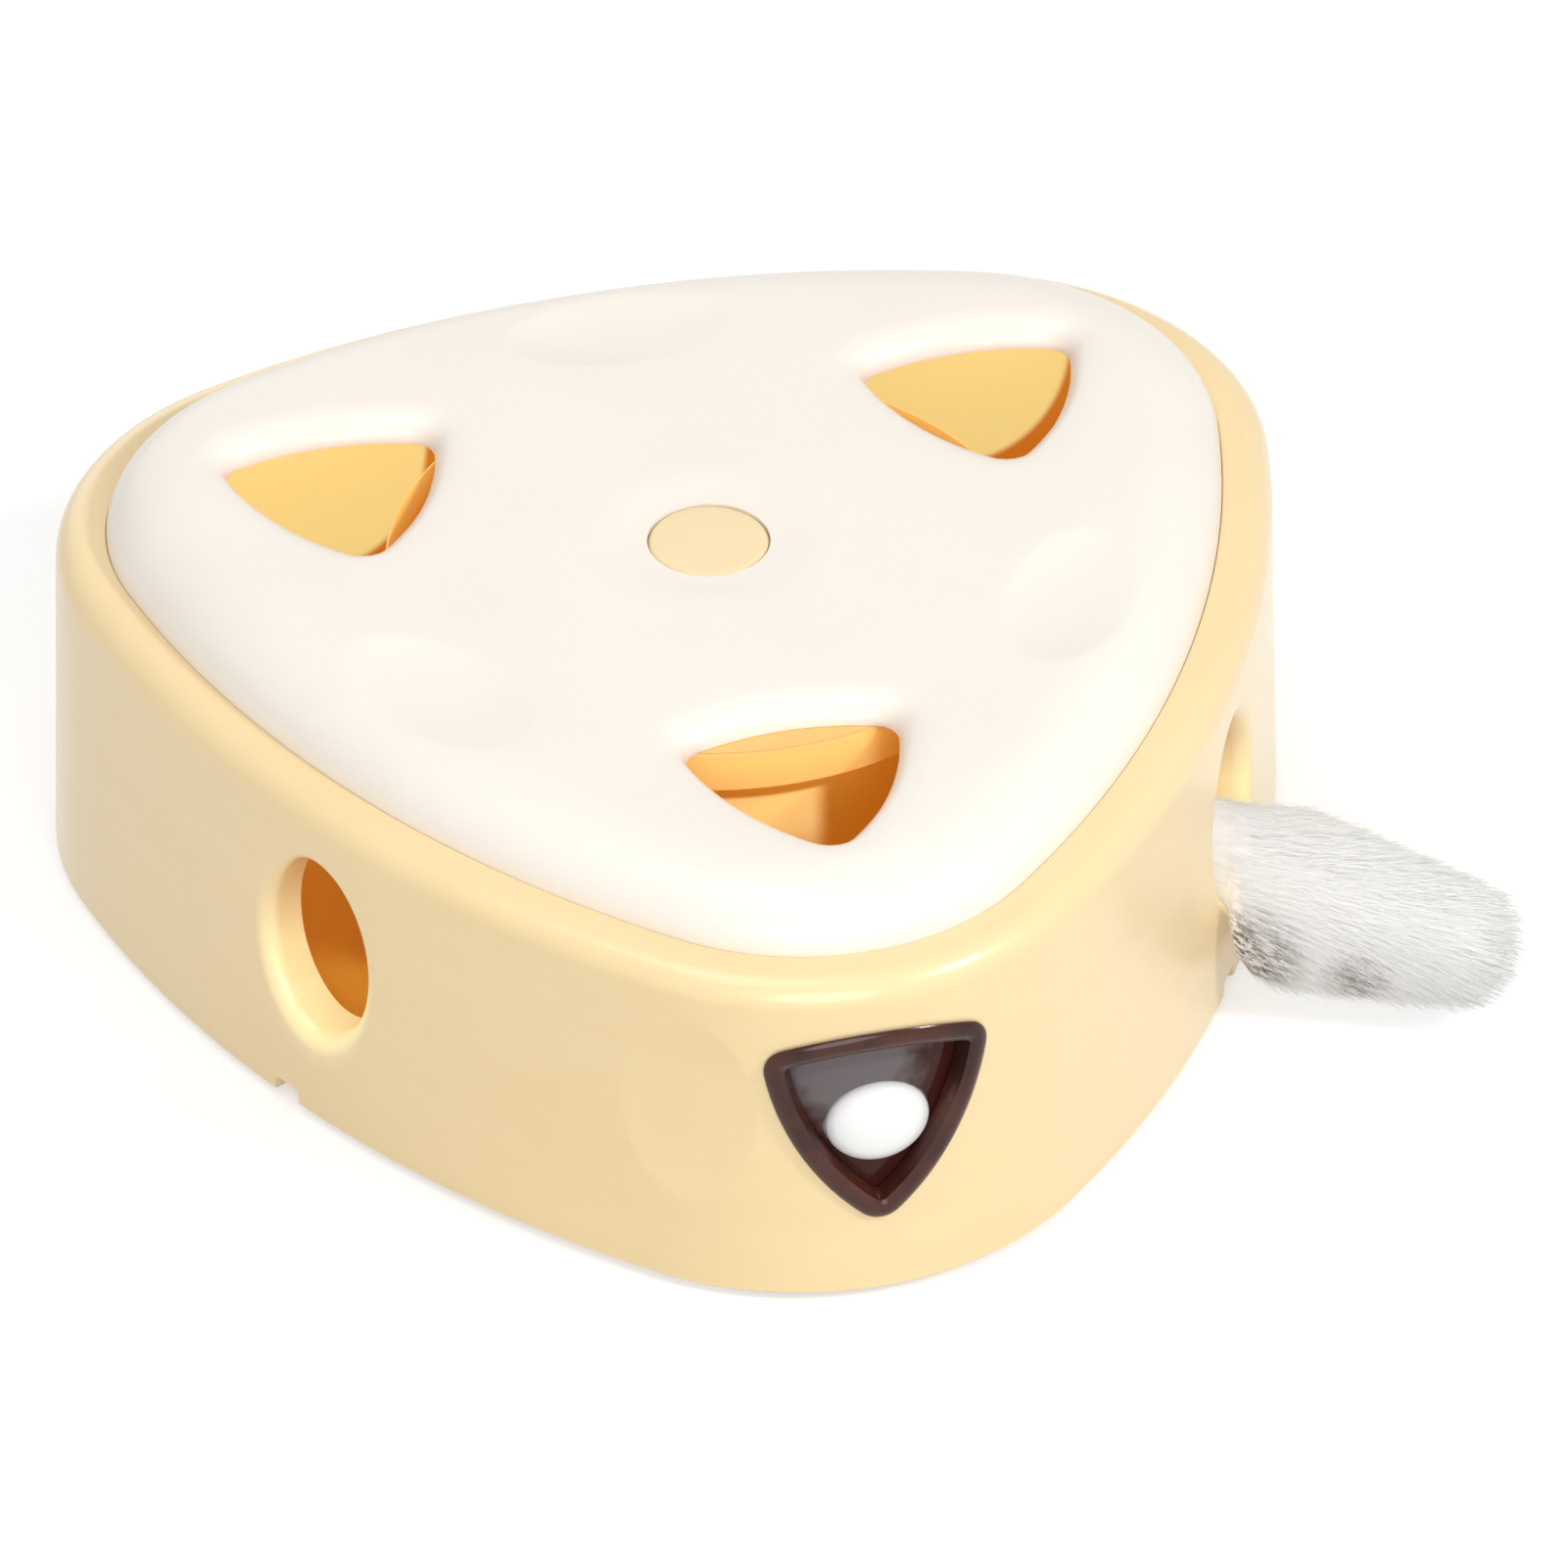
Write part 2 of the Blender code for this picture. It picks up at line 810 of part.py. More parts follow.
drum_top = case_height - pod_floor_drop - drum_top_drop
gear_flange_top = drum_top - drum_roof - clearance
drive_gear_top = gear_flange_top - gear_flange_depth - gear_neck_length
drive_gear_bottom = drive_gear_top - gear_width
hub_bottom = drive_gear_bottom - gear_hub_drop
washer_bottom = hub_bottom - clearance - washer_thickness
wheel_top = washer_bottom - clearance
wheel_bottom = wheel_top - fine_gear_width
tray_top = wheel_bottom - idler_hub_drop - clearance
tray_bottom = tray_top - tray_thickness
gearbox_top = tray_bottom - clearance
gearbox_bottom = gearbox_top - gearbox_length
motor_top = gearbox_bottom - clearance
motor_bottom = plate_top + motor_floor_gap + motor_boss_height

# Gear modules that let the idler reach close to the drum's wall, and the places of the axes

drum_inner = drum_radius - drum_wall
mesh_modules = (drum_teeth + idler_small_teeth) / 2
coarse_module = (drum_inner - idler_wall_gap) / (mesh_modules + fine_module_share * (idler_large_teeth / 2 + 1))
fine_module = coarse_module * fine_module_share
idler_distance = coarse_module * mesh_modules
motor_distance = fine_module * (idler_large_teeth + motor_teeth) / 2
motor_reach = drum_inner - motor_wall_gap - motor_radius
idler_place = spot(idler_heading, idler_distance)
motor_turn = math.degrees(math.acos((idler_distance ** 2 + motor_reach ** 2 - motor_distance ** 2)
                                    / (2 * idler_distance * motor_reach)))
motor_heading = idler_heading + motor_turn
motor_place = spot(motor_heading, motor_reach)
tray_heading = idler_heading + motor_turn * tray_heading_share
tray_reach = drum_inner * tray_reach_share
tray_radius = drum_inner - tray_wall_gap - tray_reach
tray_place = spot(tray_heading, tray_reach)
battery_heading = tray_heading + 180.0


# Centre post and the parts that stand on the base

def centre_post():
    foot_top = plate_top + clearance + post_flange_depth
    pod_floor_top = case_height - pod_floor_drop + pod_wall
    profile = [(post_flange, plate_top + clearance), (post_flange, foot_top), (post_foot, foot_top),
               (post_foot, tray_bottom - clearance), (post_shoulder, tray_bottom - clearance),
               (post_shoulder, wheel_top), (post_radius, wheel_top),
               (post_radius, pod_floor_top + clearance), (post_bore, pod_floor_top + clearance),
               (post_bore, plate_top + clearance)]
    return finish(turned("centre_post", profile, round_steps, True), "centre_post", nylon())


def gear_tray():
    centre = (tray_place.x, tray_place.y)
    tray = rod("gear_tray", tray_radius, tray_bottom, tray_top, large_steps, centre)
    reach = tray_radius - tray_leg_radius - tray_leg_inset
    for turn in tray_leg_turns:
        place = tray_place + towards(tray_heading + turn) * reach
        weld(tray, rod("leg", tray_leg_radius, plate_top + clearance, tray_bottom + tray_thickness / 2,
                       bore_steps, (place.x, place.y)))
    holes = [(Vector(), post_shoulder), (motor_place, shaft_hole_radius), (idler_place, idler_axle_radius)]
    holes += [(place, motor_screw_shank) for place in motor_screw_places()]
    for place, radius in holes:
        cut(tray, rod("hole", radius + clearance, tray_bottom - overrun, tray_top + overrun,
                      bore_steps, (place.x, place.y)))
    return finish(tray, "gear_tray", nylon())


def motor_screw_places():
    reach = motor_radius * motor_screw_share
    return [motor_place + across(motor_heading) * side * reach for side in (-1, 1)]


def motor_outline(height, share=1.0):
    """Round can with two flats."""
    ring = []
    for step in range(round_steps):
        turn = 2 * math.pi * step / round_steps
        along = motor_radius * share * math.cos(turn)
        aside = max(-motor_flat * share, min(motor_flat * share, motor_radius * share * math.sin(turn)))
        ring.append(motor_place + across(motor_heading) * along + towards(motor_heading) * aside
                    + Vector((0, 0, height)))
    return ring


def motor_can():
    rings = [motor_outline(motor_bottom - motor_boss_height, motor_boss_share),
             motor_outline(motor_bottom, motor_boss_share), motor_outline(motor_bottom, motor_edge_share),
             motor_outline(motor_bottom + motor_edge), motor_outline(motor_top)]
    return finish(loft("motor_can", rings), "motor_can", steel())


def motor_gearbox():
    box = block("motor_gearbox", motor_place, motor_heading, motor_flat, motor_radius,
                gearbox_bottom, gearbox_top)
    holes = [(motor_place, motor_shaft_radius)]
    holes += [(place, motor_screw_shank) for place in motor_screw_places()]
    for place, radius in holes:
        cut(box, rod("bore", radius + clearance, gearbox_bottom + gearbox_length / 2,
                     gearbox_top + overrun, bore_steps, (place.x, place.y)))
    return finish(box, "motor_gearbox", brass())


def motor_screws():
    seat = tray_top + clearance
    head_top = seat + motor_screw_height
    for number, place in enumerate(motor_screw_places(), 1):
        profile = [(motor_screw_head * screw_edge_share, head_top),
                   (motor_screw_head, head_top - motor_screw_height / 2), (motor_screw_head, seat),
                   (motor_screw_shank, seat), (motor_screw_shank, gearbox_top - gearbox_length / 2 + overrun)]
        motor_screw = turned("screw", profile, screw_steps, False, (place.x, place.y))
        finish(motor_screw, f"motor_screw_{number}", steel())


def idler_axle():
    head_top = tray_bottom - clearance
    profile = [(axle_head, head_top - axle_head_height), (axle_head, head_top),
               (idler_axle_radius, head_top), (idler_axle_radius, drive_gear_top + clearance + axle_proud)]
    axle = turned("idler_axle", profile, bore_steps, False, (idler_place.x, idler_place.y))
    return finish(axle, "idler_axle", steel())


def lying_rod(name, centre, heading, radius, length, steps=round_steps):
    rings = []
    for end in (-length / 2, length / 2):
        ring = []
        for step in range(steps):
            turn = 2 * math.pi * step / steps
            ring.append(centre + towards(heading) * end + across(heading) * (radius * math.cos(turn))
                        + Vector((0, 0, radius * math.sin(turn))))
        rings.append(ring)
    return loft(name, rings)


def battery_parts():
    axis_height = plate_top + 2 * clearance + cradle_wall + battery_radius
    centre = spot(battery_heading, battery_reach, axis_height)
    lie = battery_heading + 90.0
    cradle_top = plate_top + clearance + (cradle_wall + 2 * battery_radius) * cradle_height_share
    cradle = block("battery_cradle", centre, lie, battery_length / 2 + cradle_wall + clearance,
                   battery_radius + cradle_wall + clearance, plate_top + clearance, cradle_top)
    cut(cradle, lying_rod("trough", centre, lie, battery_radius + clearance,
                          battery_length + 2 * clearance))
    cell = lying_rod("battery_cell", centre, lie, battery_radius, battery_length)
    finish(cradle, "battery_cradle", nylon())
    finish(cell, "battery_cell", battery_wrap())


# Gears

def involute(angle):
    return math.tan(angle) - angle


def gear_outline(module, teeth, first_tooth, tooth_shares):
    """Anticlockwise outline of an involute gear, stepping from root to tip and back."""
    pitch = module * teeth / 2
    base = pitch * math.cos(pressure_angle)
    root = pitch - root_share * module
    tip = pitch + tip_share * module
    half_pitch = math.pi / (2 * teeth) - tooth_play / (2 * pitch)
    flank = []
    for share in tooth_shares:
        radius = root + (tip - root) * share
        opening = math.acos(min(1.0, base / radius))
        flank.append((radius, half_pitch + involute(pressure_angle) - involute(opening)))
    points = []
    for tooth in range(teeth):
        middle = math.radians(first_tooth) + 2 * math.pi * tooth / teeth
        for radius, half in flank:
            points.append((radius * math.cos(middle - half), radius * math.sin(middle - half)))
        for radius, half in reversed(flank):
            points.append((radius * math.cos(middle + half), radius * math.sin(middle + half)))
    return points


def gear(name, module, teeth, first_tooth, bottom, top, tooth_shares):
    outline = gear_outline(module, teeth, first_tooth, tooth_shares)
    rings = [[Vector((x, y, height)) for x, y in outline] for height in (bottom, top)]
    return loft(name, rings)


def drive_gear(axis):
    hub_outer = post_radius + clearance + gear_hub_wall
    piece = gear("drive_gear", coarse_module, drum_teeth, idler_heading, drive_gear_bottom,
                 drive_gear_top, wheel_tooth_shares)
    flange_bottom = gear_flange_top - gear_flange_depth
    hub = turned("hub", [(hub_outer, hub_bottom), (hub_outer, flange_bottom),
                         (gear_flange_radius, flange_bottom), (gear_flange_radius, gear_flange_top)])
    weld(piece, hub)
    cut(piece, rod("bore", post_radius + clearance, hub_bottom - overrun, gear_flange_top + overrun))
    for place in rotor_screw_places():
        cut(piece, rod("thread", screw_shank + clearance, flange_bottom - overrun,
                       gear_flange_top + overrun, screw_steps, (place.x, place.y)))
    return finish(piece, "drive_gear", nylon(), axis)


def rotor_screw_places():
    return [spot(tail_heading + third_turn * number, rotor_screw_radius) for number in range(3)]


def rotor_screws(axis):
    seat = drum_top - screw_seat_depth
    length = gear_flange_depth + drum_roof - overrun
    for number, place in enumerate(rotor_screw_places(), 1):
        rotor_screw = screw(place, seat + clearance + screw_head_depth, length, False)
        finish(rotor_screw, f"rotor_screw_{number}", steel(), axis)


def idler_gear(axis):
    aim = math.degrees(math.atan2(motor_place.y - idler_place.y, motor_place.x - idler_place.x))
    small_first = idler_heading + 180.0 + 180.0 / idler_small_teeth
    small_top = drive_gear_top + clearance
    piece = gear("idler_gear", fine_module, idler_large_teeth, aim, wheel_bottom, wheel_top,
                 wheel_tooth_shares)
    weld(piece, rod("hub", idler_axle_radius + clearance + idler_hub_wall, tray_top + clearance,
                    drive_gear_bottom))
    weld(piece, gear("pinion", coarse_module, idler_small_teeth, small_first,
                     drive_gear_bottom - clearance * 2, small_top, pinion_tooth_shares))
    cut(piece, rod("bore", idler_axle_radius + clearance, tray_top - overrun, small_top + overrun,
                   bore_steps))
    return finish(piece, "idler_gear", nylon(), axis)


def motor_pinion(axis):
    aim = math.degrees(math.atan2(idler_place.y - motor_place.y, idler_place.x - motor_place.x))
    first = aim + 180.0 / motor_teeth
    piece = gear("motor_pinion", fine_module, motor_teeth, first, wheel_bottom - clearance,
                 wheel_top + clearance, pinion_tooth_shares)
    cut(piece, rod("bore", motor_shaft_radius + clearance, wheel_bottom - overrun, wheel_top + overrun,
                   bore_steps))
    return finish(piece, "motor_pinion", brass(), axis)


def motor_shaft(axis):
    bottom = gearbox_bottom + gearbox_length / 2 + clearance
    top = wheel_top + overrun
    rings = []
    for height in (bottom, top):
        ring = []
        for point in circle_ring(motor_shaft_radius, height, bore_steps):
            ring.append(Vector((point.x, min(point.y, motor_shaft_flat), point.z)))
        rings.append(ring)
    return finish(loft("motor_shaft", rings), "motor_shaft", steel(), axis)


def thrust_washer():
    washer = tube("thrust_washer", post_radius + clearance, post_shoulder + clearance,
                  washer_bottom, washer_bottom + washer_thickness, bore_steps)
    return finish(washer, "thrust_washer", steel())


def retaining_clip():
    bottom = drum_top + clearance
    clip = tube("retaining_clip", post_radius + clearance, post_radius + clip_wall, bottom,
                bottom + clip_thickness, bore_steps)
    return finish(clip, "retaining_clip", steel())


# Drum, tail socket, stick and tail

def rotor_drum(axis):
    inner = drum_inner
    under = drum_top - drum_roof
    bore = post_radius + clearance
    profile = [(drum_radius, drum_bottom), (drum_radius, drum_top - drum_edge)]
    profile += [(drum_radius - drum_edge / 3, drum_top - drum_edge / 3), (drum_radius - drum_edge, drum_top)]
    profile += [(bore, drum_top), (bore, under), (inner, under), (inner, drum_bottom)]
    drum = turned("rotor_drum", profile, large_steps, True)
    for place in rotor_screw_places():
        seat = drum_top - screw_seat_depth
        stepped = [(screw_head + clearance, drum_top + overrun), (screw_head + clearance, seat),
                   (screw_shank + clearance, seat), (screw_shank + clearance, under - overrun)]
        cut(drum, turned("screw_seat", stepped, foot_steps, False, (place.x, place.y)))
    centre = spot(tail_heading, drum_radius, stick_level)
    cut(drum, lying_rod("socket_hole", centre, tail_heading, socket_tube_radius + clearance,
                        drum_wall * 4))
    return finish(drum, "rotor_drum", yellow_plastic(), axis)


def lying_turned(name, heading, height, profile, steps):
    """Turned solid about a level axis; the profile is (radius, reach from the drum's axis)."""
    rings = []
    for radius, reach in profile:
        ring = []
        for step in range(steps):
            turn = 2 * math.pi * step / steps
            ring.append(spot(heading, reach, height + radius * math.sin(turn))
                        + across(heading) * (radius * math.cos(turn)))
        rings.append(ring)
    return loft(name, rings)


def tail_socket(axis):
    flange = drum_radius + clearance
    tube_end = drum_radius + socket_tube_length
    profile = [(socket_tube_radius, drum_radius - socket_inner_length), (socket_tube_radius, flange),
               (socket_flange_radius, flange), (socket_flange_radius, flange + socket_flange_depth),
               (socket_tube_radius, flange + socket_flange_depth),
               (socket_tube_radius * socket_mouth_share, tube_end)]
    piece = lying_turned("tail_socket", tail_heading, stick_level, profile, round_steps)
    bore = [(stick_radius + clearance, drum_radius), (stick_radius + clearance, tube_end + overrun)]
    cut(piece, lying_turned("bore", tail_heading, stick_level, bore, bore_steps))
    return finish(piece, "tail_socket", inner_plastic(), axis)


def tail_throat_reach():
    """Where the fur leaves the side hole and can fill out."""
    return side_reach(foot_swell) + tail_throat_gap


def tail_stick(axis):
    profile = [(stick_radius, drum_radius + clearance), (stick_radius, tail_throat_reach() - stick_end_depth)]
    stick = lying_turned("tail_stick", tail_heading, stick_level, profile, bore_steps)
    return finish(stick, "tail_stick", white_plastic(), axis)


def fur_tail(axis):
    """Plain closed body of the fur: thin in the hole, full outside, drooping to a round tip."""
    throat = tail_throat_reach()
    root = throat - stick_end_depth + clearance
    low = stick_level - tail_end_sag
    start = stick_level - tail_sag
    sections = [(root, tail_root_radius * tail_root_share, stick_level - tail_throat_sag / 4),
                (root + tail_root_taper, tail_root_radius, stick_level - tail_throat_sag / 2),
                (throat, tail_root_radius, stick_level - tail_throat_sag)]
    for share, girth in tail_girth_shares:
        reach = throat + tail_length * share
        height = low + (start - low) * (1 - share) ** tail_sag_power
        sections.append((reach, tail_full_radius * girth, height))
    rings = [oval_ring(tail_heading, reach, radius, radius, height) for reach, radius, height in sections]
    return finish(loft("fur_tail", rings), "fur_tail", white_fur(), axis)


# Pod, board, switch and button

def pod_levels():
    bottom = case_height - pod_floor_drop
    floor_top = bottom + pod_wall
    board_bottom = floor_top + board_lift
    return bottom, floor_top, board_bottom


def electronics_pod():
    bottom, floor_top, board_bottom = pod_levels()
    rim = case_height - lip_drop - clearance
    outer = [(pod_radius - drum_edge, bottom), (pod_radius, bottom + drum_edge / 2), (pod_radius, rim),
             (pod_radius - pod_wall, rim), (pod_radius - pod_wall, floor_top)]
    pod = turned("electronics_pod", outer, large_steps)
    for number in range(3):
        place = spot(front + third_turn * number, board_pad_reach)
        weld(pod, rod("pad", board_pad_radius, floor_top - pod_wall / 2, board_bottom - clearance,
                      foot_steps, (place.x, place.y)))
    cut(pod, rod("post_hole", post_radius + clearance, bottom - overrun, floor_top + overrun))
    for heading in side_middles:
        place = spot(heading, pod_boss_radius)
        cut(pod, rod("screw_hole", screw_shank + clearance, bottom - overrun, floor_top + overrun,
                     screw_steps, (place.x, place.y)))
    return finish(pod, "electronics_pod", inner_plastic())


def pod_screws():
    bottom, floor_top, board_bottom = pod_levels()
    head_bottom = bottom - clearance - screw_head_depth
    length = cover_underside - cover_wall - overrun - head_bottom - screw_head_depth
    for number, heading in enumerate(side_middles, 1):
        finish(screw(spot(heading, pod_boss_radius), head_bottom, length), f"pod_screw_{number}", steel())


def control_board():
    bottom, floor_top, board_bottom = pod_levels()
    board_top = board_bottom + board_thickness
    board = rod("control_board", board_radius, board_bottom, board_top, button_steps)
    for turn in (0.0, 90.0, 180.0, 270.0):
        place = spot(turn, board_radius * chip_reach_share)
        weld(board, block("chip", place, turn, chip_half_length, chip_half_width,
                          board_top - board_thickness / 2, board_top + chip_height))
    return finish(board, "control_board", circuit_board())


def switch_parts(axis):
    bottom, floor_top, board_bottom = pod_levels()
    case_bottom = board_bottom + board_thickness + clearance
    case_top = case_bottom + switch_height
    case = block("switch_case", (0.0, 0.0), 0.0, switch_half, switch_half, case_bottom, case_top)
    cut(case, rod("well", plunger_radius + clearance, case_bottom + clearance * 2, case_top + overrun))
    finish(case, "switch_case", dark_plastic())
    plunger_bottom = case_bottom + clearance * 3 + button_travel
    plunger_top = case_top + plunger_proud
    lift = axis.location.z
    plunger = rod("switch_plunger", plunger_radius, plunger_bottom - lift, plunger_top - lift)
    finish(plunger, "switch_plunger", nylon(), axis)
    return plunger_top


def power_button(axis, plunger_top):
    """Yellow disc with a hidden flange that keeps it under the cover."""
    lift = axis.location.z
    face = case_height - button_recess
    flange_top = cover_underside - clearance
    flange_bottom = flange_top - button_flange_depth
    stem = plunger_radius
    profile = [(stem, plunger_top + clearance - lift), (stem, flange_bottom - lift),
               (button_radius + button_flange, flange_bottom - lift),
               (button_radius + button_flange, flange_top - lift), (button_radius, flange_top - lift),
               (button_radius, face - clearance - lift), (button_radius - clearance, face - lift)]
    return finish(turned("power_button", profile, button_steps), "power_button", yellow_plastic(), axis)


# Sensor window

def window_cutter():
    swell = bezel_play - bezel_flange
    return loft("window", [window_ring(swell, depth) for depth in (shell_wall * 2, -shell_wall * 3)])


def window_bezel():
    """Frame with a raised rolled face, a recess for the lens and a barrel through the wall."""
    inner = -bezel_face
    bore = -bezel_flange - bezel_wall
    section = [(0.0, -bezel_seat)]
    section += [(inner * across_share, -bezel_seat - bezel_proud * proud_share)
                for across_share, proud_share in bezel_roll_shares]
    section += [(inner, clearance), (inner, lens_recess), (bore, lens_recess), (bore, bezel_barrel),
                (-bezel_flange, bezel_barrel), (-bezel_flange, -bezel_seat)]
    return finish(loft("window_bezel", [window_ring(swell, depth) for swell, depth in section], True),
                  "window_bezel", dark_plastic())


def dome_ring(share, depth):
    ring = []
    for step in range(oval_steps):
        turn = 2 * math.pi * step / oval_steps
        ring.append(corner_point(front, dome_shift + share * dome_half_width * math.cos(turn),
                                 dome_middle + share * dome_half_height * math.sin(turn), depth))
    return ring


def window_lens():
    swell = -bezel_flange - bezel_wall - clearance
    front_depth = lens_recess + clearance
    back_depth = front_depth + lens_thickness
    rings = [window_ring(swell, front_depth, share) for share in plate_shares]
    rings += [window_ring(swell, back_depth, share) for share in reversed(plate_shares)]
    lens = loft("window_lens", rings)
    grow = 1.0 + clearance / dome_half_height
    cut(lens, loft("dome_hole", [dome_ring(grow, front_depth - 2 * overrun),
                                 dome_ring(grow, back_depth + 2 * overrun)]))
    return finish(lens, "window_lens", tinted_glass())


def sensor_dome():
    """Milky oval dome that stands through the lens."""
    seat = lens_recess + clearance + lens_thickness + clearance
    flange = 1.0 + dome_flange / dome_half_height
    rings = [dome_ring(share * flange, seat + dome_wall) for share in plate_shares]
    rings += [dome_ring(flange, seat), dome_ring(1.0, seat)]
    for step in range(dome_steps + 1):
        turn = math.radians(80.0 * step / dome_steps)
        rings.append(dome_ring(math.cos(turn), lens_recess + clearance - dome_rise * math.sin(turn)))
    return finish(loft("sensor_dome", rings), "sensor_dome", milky_plastic())


def flat_window_ring(swell, reach):
    """The window's pick outline on an upright plane across the front corner."""
    return [spot(front, reach, window_middle + y) + across(front) * x
            for x, y in window_outline(swell)]


def sensor_board():
    """Flat board across the barrel's rear edge, with a sensor can behind the dome."""
    half_width = window_spread * math.cos(math.radians(third_turn / 4)) + window_round - bezel_flange
    barrel_end = corner_round + wall_swell(window_middle + window_spread) - bezel_barrel
    front_reach = corner_spread + math.sqrt(barrel_end ** 2 - half_width ** 2) - clearance
    back_reach = front_reach - sensor_board_thickness
    board = loft("sensor_board", [flat_window_ring(-bezel_flange, reach)
                                  for reach in (back_reach, front_reach)])
    dome_back = lens_recess + lens_thickness + dome_wall + 2 * clearance
    can_reach = corner_spread + corner_round + wall_swell(dome_middle) - dome_back - clearance - overrun / 2
    can = lying_turned("can", front, dome_middle,
                       [(sensor_can_radius, back_reach + sensor_board_thickness / 2),
                        (sensor_can_radius, can_reach)], round_steps)
    return finish(weld(board, can), "sensor_board", circuit_board())


# Charging socket at the back

def wall_reach(heading, swell):
    """Distance from the axis to the case outline along a heading."""
    outline = rounded_triangle(corner_spread, corner_round + swell, side_bulge, front, 24, 24)
    aim = towards(heading)
    side = across(heading)
    for here in range(len(outline)):
        first = Vector((*outline[here - 1], 0.0))
        second = Vector((*outline[here], 0.0))
        first_side = first.dot(side)
        second_side = second.dot(side)
        if first_side <= 0.0 < second_side and second.dot(aim) > 0.0:
            share = -first_side / (second_side - first_side)
            return first.dot(aim) + (second.dot(aim) - first.dot(aim)) * share
    return 0.0


def wall_facing(heading):
    """Heading that the case wall faces where a heading meets it."""
    step = 0.5
    before = spot(heading - step, wall_reach(heading - step, foot_swell))
    after = spot(heading + step, wall_reach(heading + step, foot_swell))
    along = after - before
    return math.degrees(math.atan2(along.y, along.x)) - 90.0


def socket_levels():
    board_bottom = plate_top + clearance + charge_post_height
    socket_bottom = board_bottom + charge_board_thickness + clearance
    return board_bottom, socket_bottom, socket_bottom + socket_height


def rounded_slot(centre, facing, reach, half_width, half_height, middle):
    ring = []
    flat = half_width - half_height
    for step in range(round_steps):
        turn = 2 * math.pi * (step + 0.5) / round_steps
        shift = flat if math.cos(turn) > 0 else -flat
        ring.append(centre + towards(facing) * reach + across(facing) * (shift + half_height * math.cos(turn))
                    + Vector((0, 0, middle + half_height * math.sin(turn))))
    return ring


def socket_centre():
    """Where the socket's mouth lies on the wall, and the way that the wall faces there."""
    return spot(socket_heading, wall_reach(socket_heading, foot_swell)), wall_facing(socket_heading)


def socket_cutter():
    centre, facing = socket_centre()
    board_bottom, low, high = socket_levels()
    half_width = socket_width / 2 + clearance
    half_height = socket_height / 2 + clearance
    rings = [rounded_slot(centre, facing, reach, half_width, half_height, (low + high) / 2)
             for reach in (-shell_wall * 2, shell_wall)]
    return loft("socket_opening", rings)


def charge_socket():
    centre, facing = socket_centre()
    board_bottom, low, high = socket_levels()
    middle = (low + high) / 2
    mouth = -shell_wall / 4
    half_width = socket_width / 2
    half_height = socket_height / 2
    shell = loft("charge_socket", [rounded_slot(centre, facing, reach, half_width, half_height, middle)
                                   for reach in (mouth - socket_length, mouth)])
    cut(shell, loft("mouth", [rounded_slot(centre, facing, reach, half_width - socket_wall,
                                           half_height - socket_wall, middle)
                              for reach in (mouth - socket_length * socket_depth_share, mouth + overrun)]))
    long_share, wide_share, thick_share = tongue_shares
    tongue_spot = centre + towards(facing) * (mouth - socket_length * tongue_place_share)
    weld(shell, block("tongue", tongue_spot, facing, socket_length * long_share, half_width * wide_share,
                      middle - half_height * thick_share, middle + half_height * thick_share))
    return finish(shell, "charge_socket", steel())


def charge_board():
    centre, facing = socket_centre()
    board_bottom, low, high = socket_levels()
    reach = -shell_wall * 2 - charge_board_length / 2
    place = centre + towards(facing) * reach
    board = block("charge_board", place, facing, charge_board_length / 2, charge_board_width / 2,
                  board_bottom, board_bottom + charge_board_thickness)
    for side in (-1, 1):
        for end in (-1, 1):
            post = (place + towards(facing) * (end * charge_board_length * charge_post_share)
                    + across(facing) * (side * charge_board_width * charge_post_share))
            weld(board, rod("post", screw_shank, plate_top + clearance,
                            board_bottom + charge_board_thickness / 2, screw_steps, (post.x, post.y)))
    return finish(board, "charge_board", circuit_board())


# Assembly

def clear_scene():
    for item in list(bpy.data.objects):
        bpy.data.objects.remove(item)


def build():
    clear_scene()
    rotor_axis = axis_empty("rotor_axis", (0.0, 0.0, 0.0))
    idler_axis = axis_empty("idler_axis", idler_place)
    pinion_axis = axis_empty("pinion_axis", motor_place)
    button_axis = axis_empty("button_axis", (0.0, 0.0, case_height - button_recess))
    body_shell()
    top_cover()
    base_plate()
    base_screws()
    for name, place in foot_places().items():
        rubber_foot("rubber_foot_" + name, place)
    centre_post()
    gear_tray()
    motor_can()
    motor_gearbox()
    motor_screws()
    idler_axle()
    battery_parts()
    thrust_washer()
    retaining_clip()
    electronics_pod()
    pod_screws()
    control_board()
    plunger_top = switch_parts(button_axis)
    power_button(button_axis, plunger_top)
    window_bezel()
    window_lens()
    sensor_dome()
    sensor_board()
    charge_socket()
    charge_board()
    rotor_drum(rotor_axis)
    drive_gear(rotor_axis)
    rotor_screws(rotor_axis)
    tail_socket(rotor_axis)
    tail_stick(rotor_axis)
    fur_tail(rotor_axis)
    idler_gear(idler_axis)
    motor_pinion(pinion_axis)
    motor_shaft(pinion_axis)
    bpy.context.view_layer.update()


build()
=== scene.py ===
# %% [markdown]
# # Automatic cat teaser toy
# A cheese-shaped toy for cats. Its case is a rounded triangle of butter-yellow plastic with a
# white cover snapped on top. A cat reaches in through three openings, and a motor swings a white
# fur tail from one side hole to the next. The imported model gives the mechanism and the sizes;
# this script gives the smooth mouldings, the fur and the finishes. All lengths are in metres.

import json
import math

import bmesh
import bpy
import numpy as np
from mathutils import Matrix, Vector
from mathutils.geometry import delaunay_2d_cdt


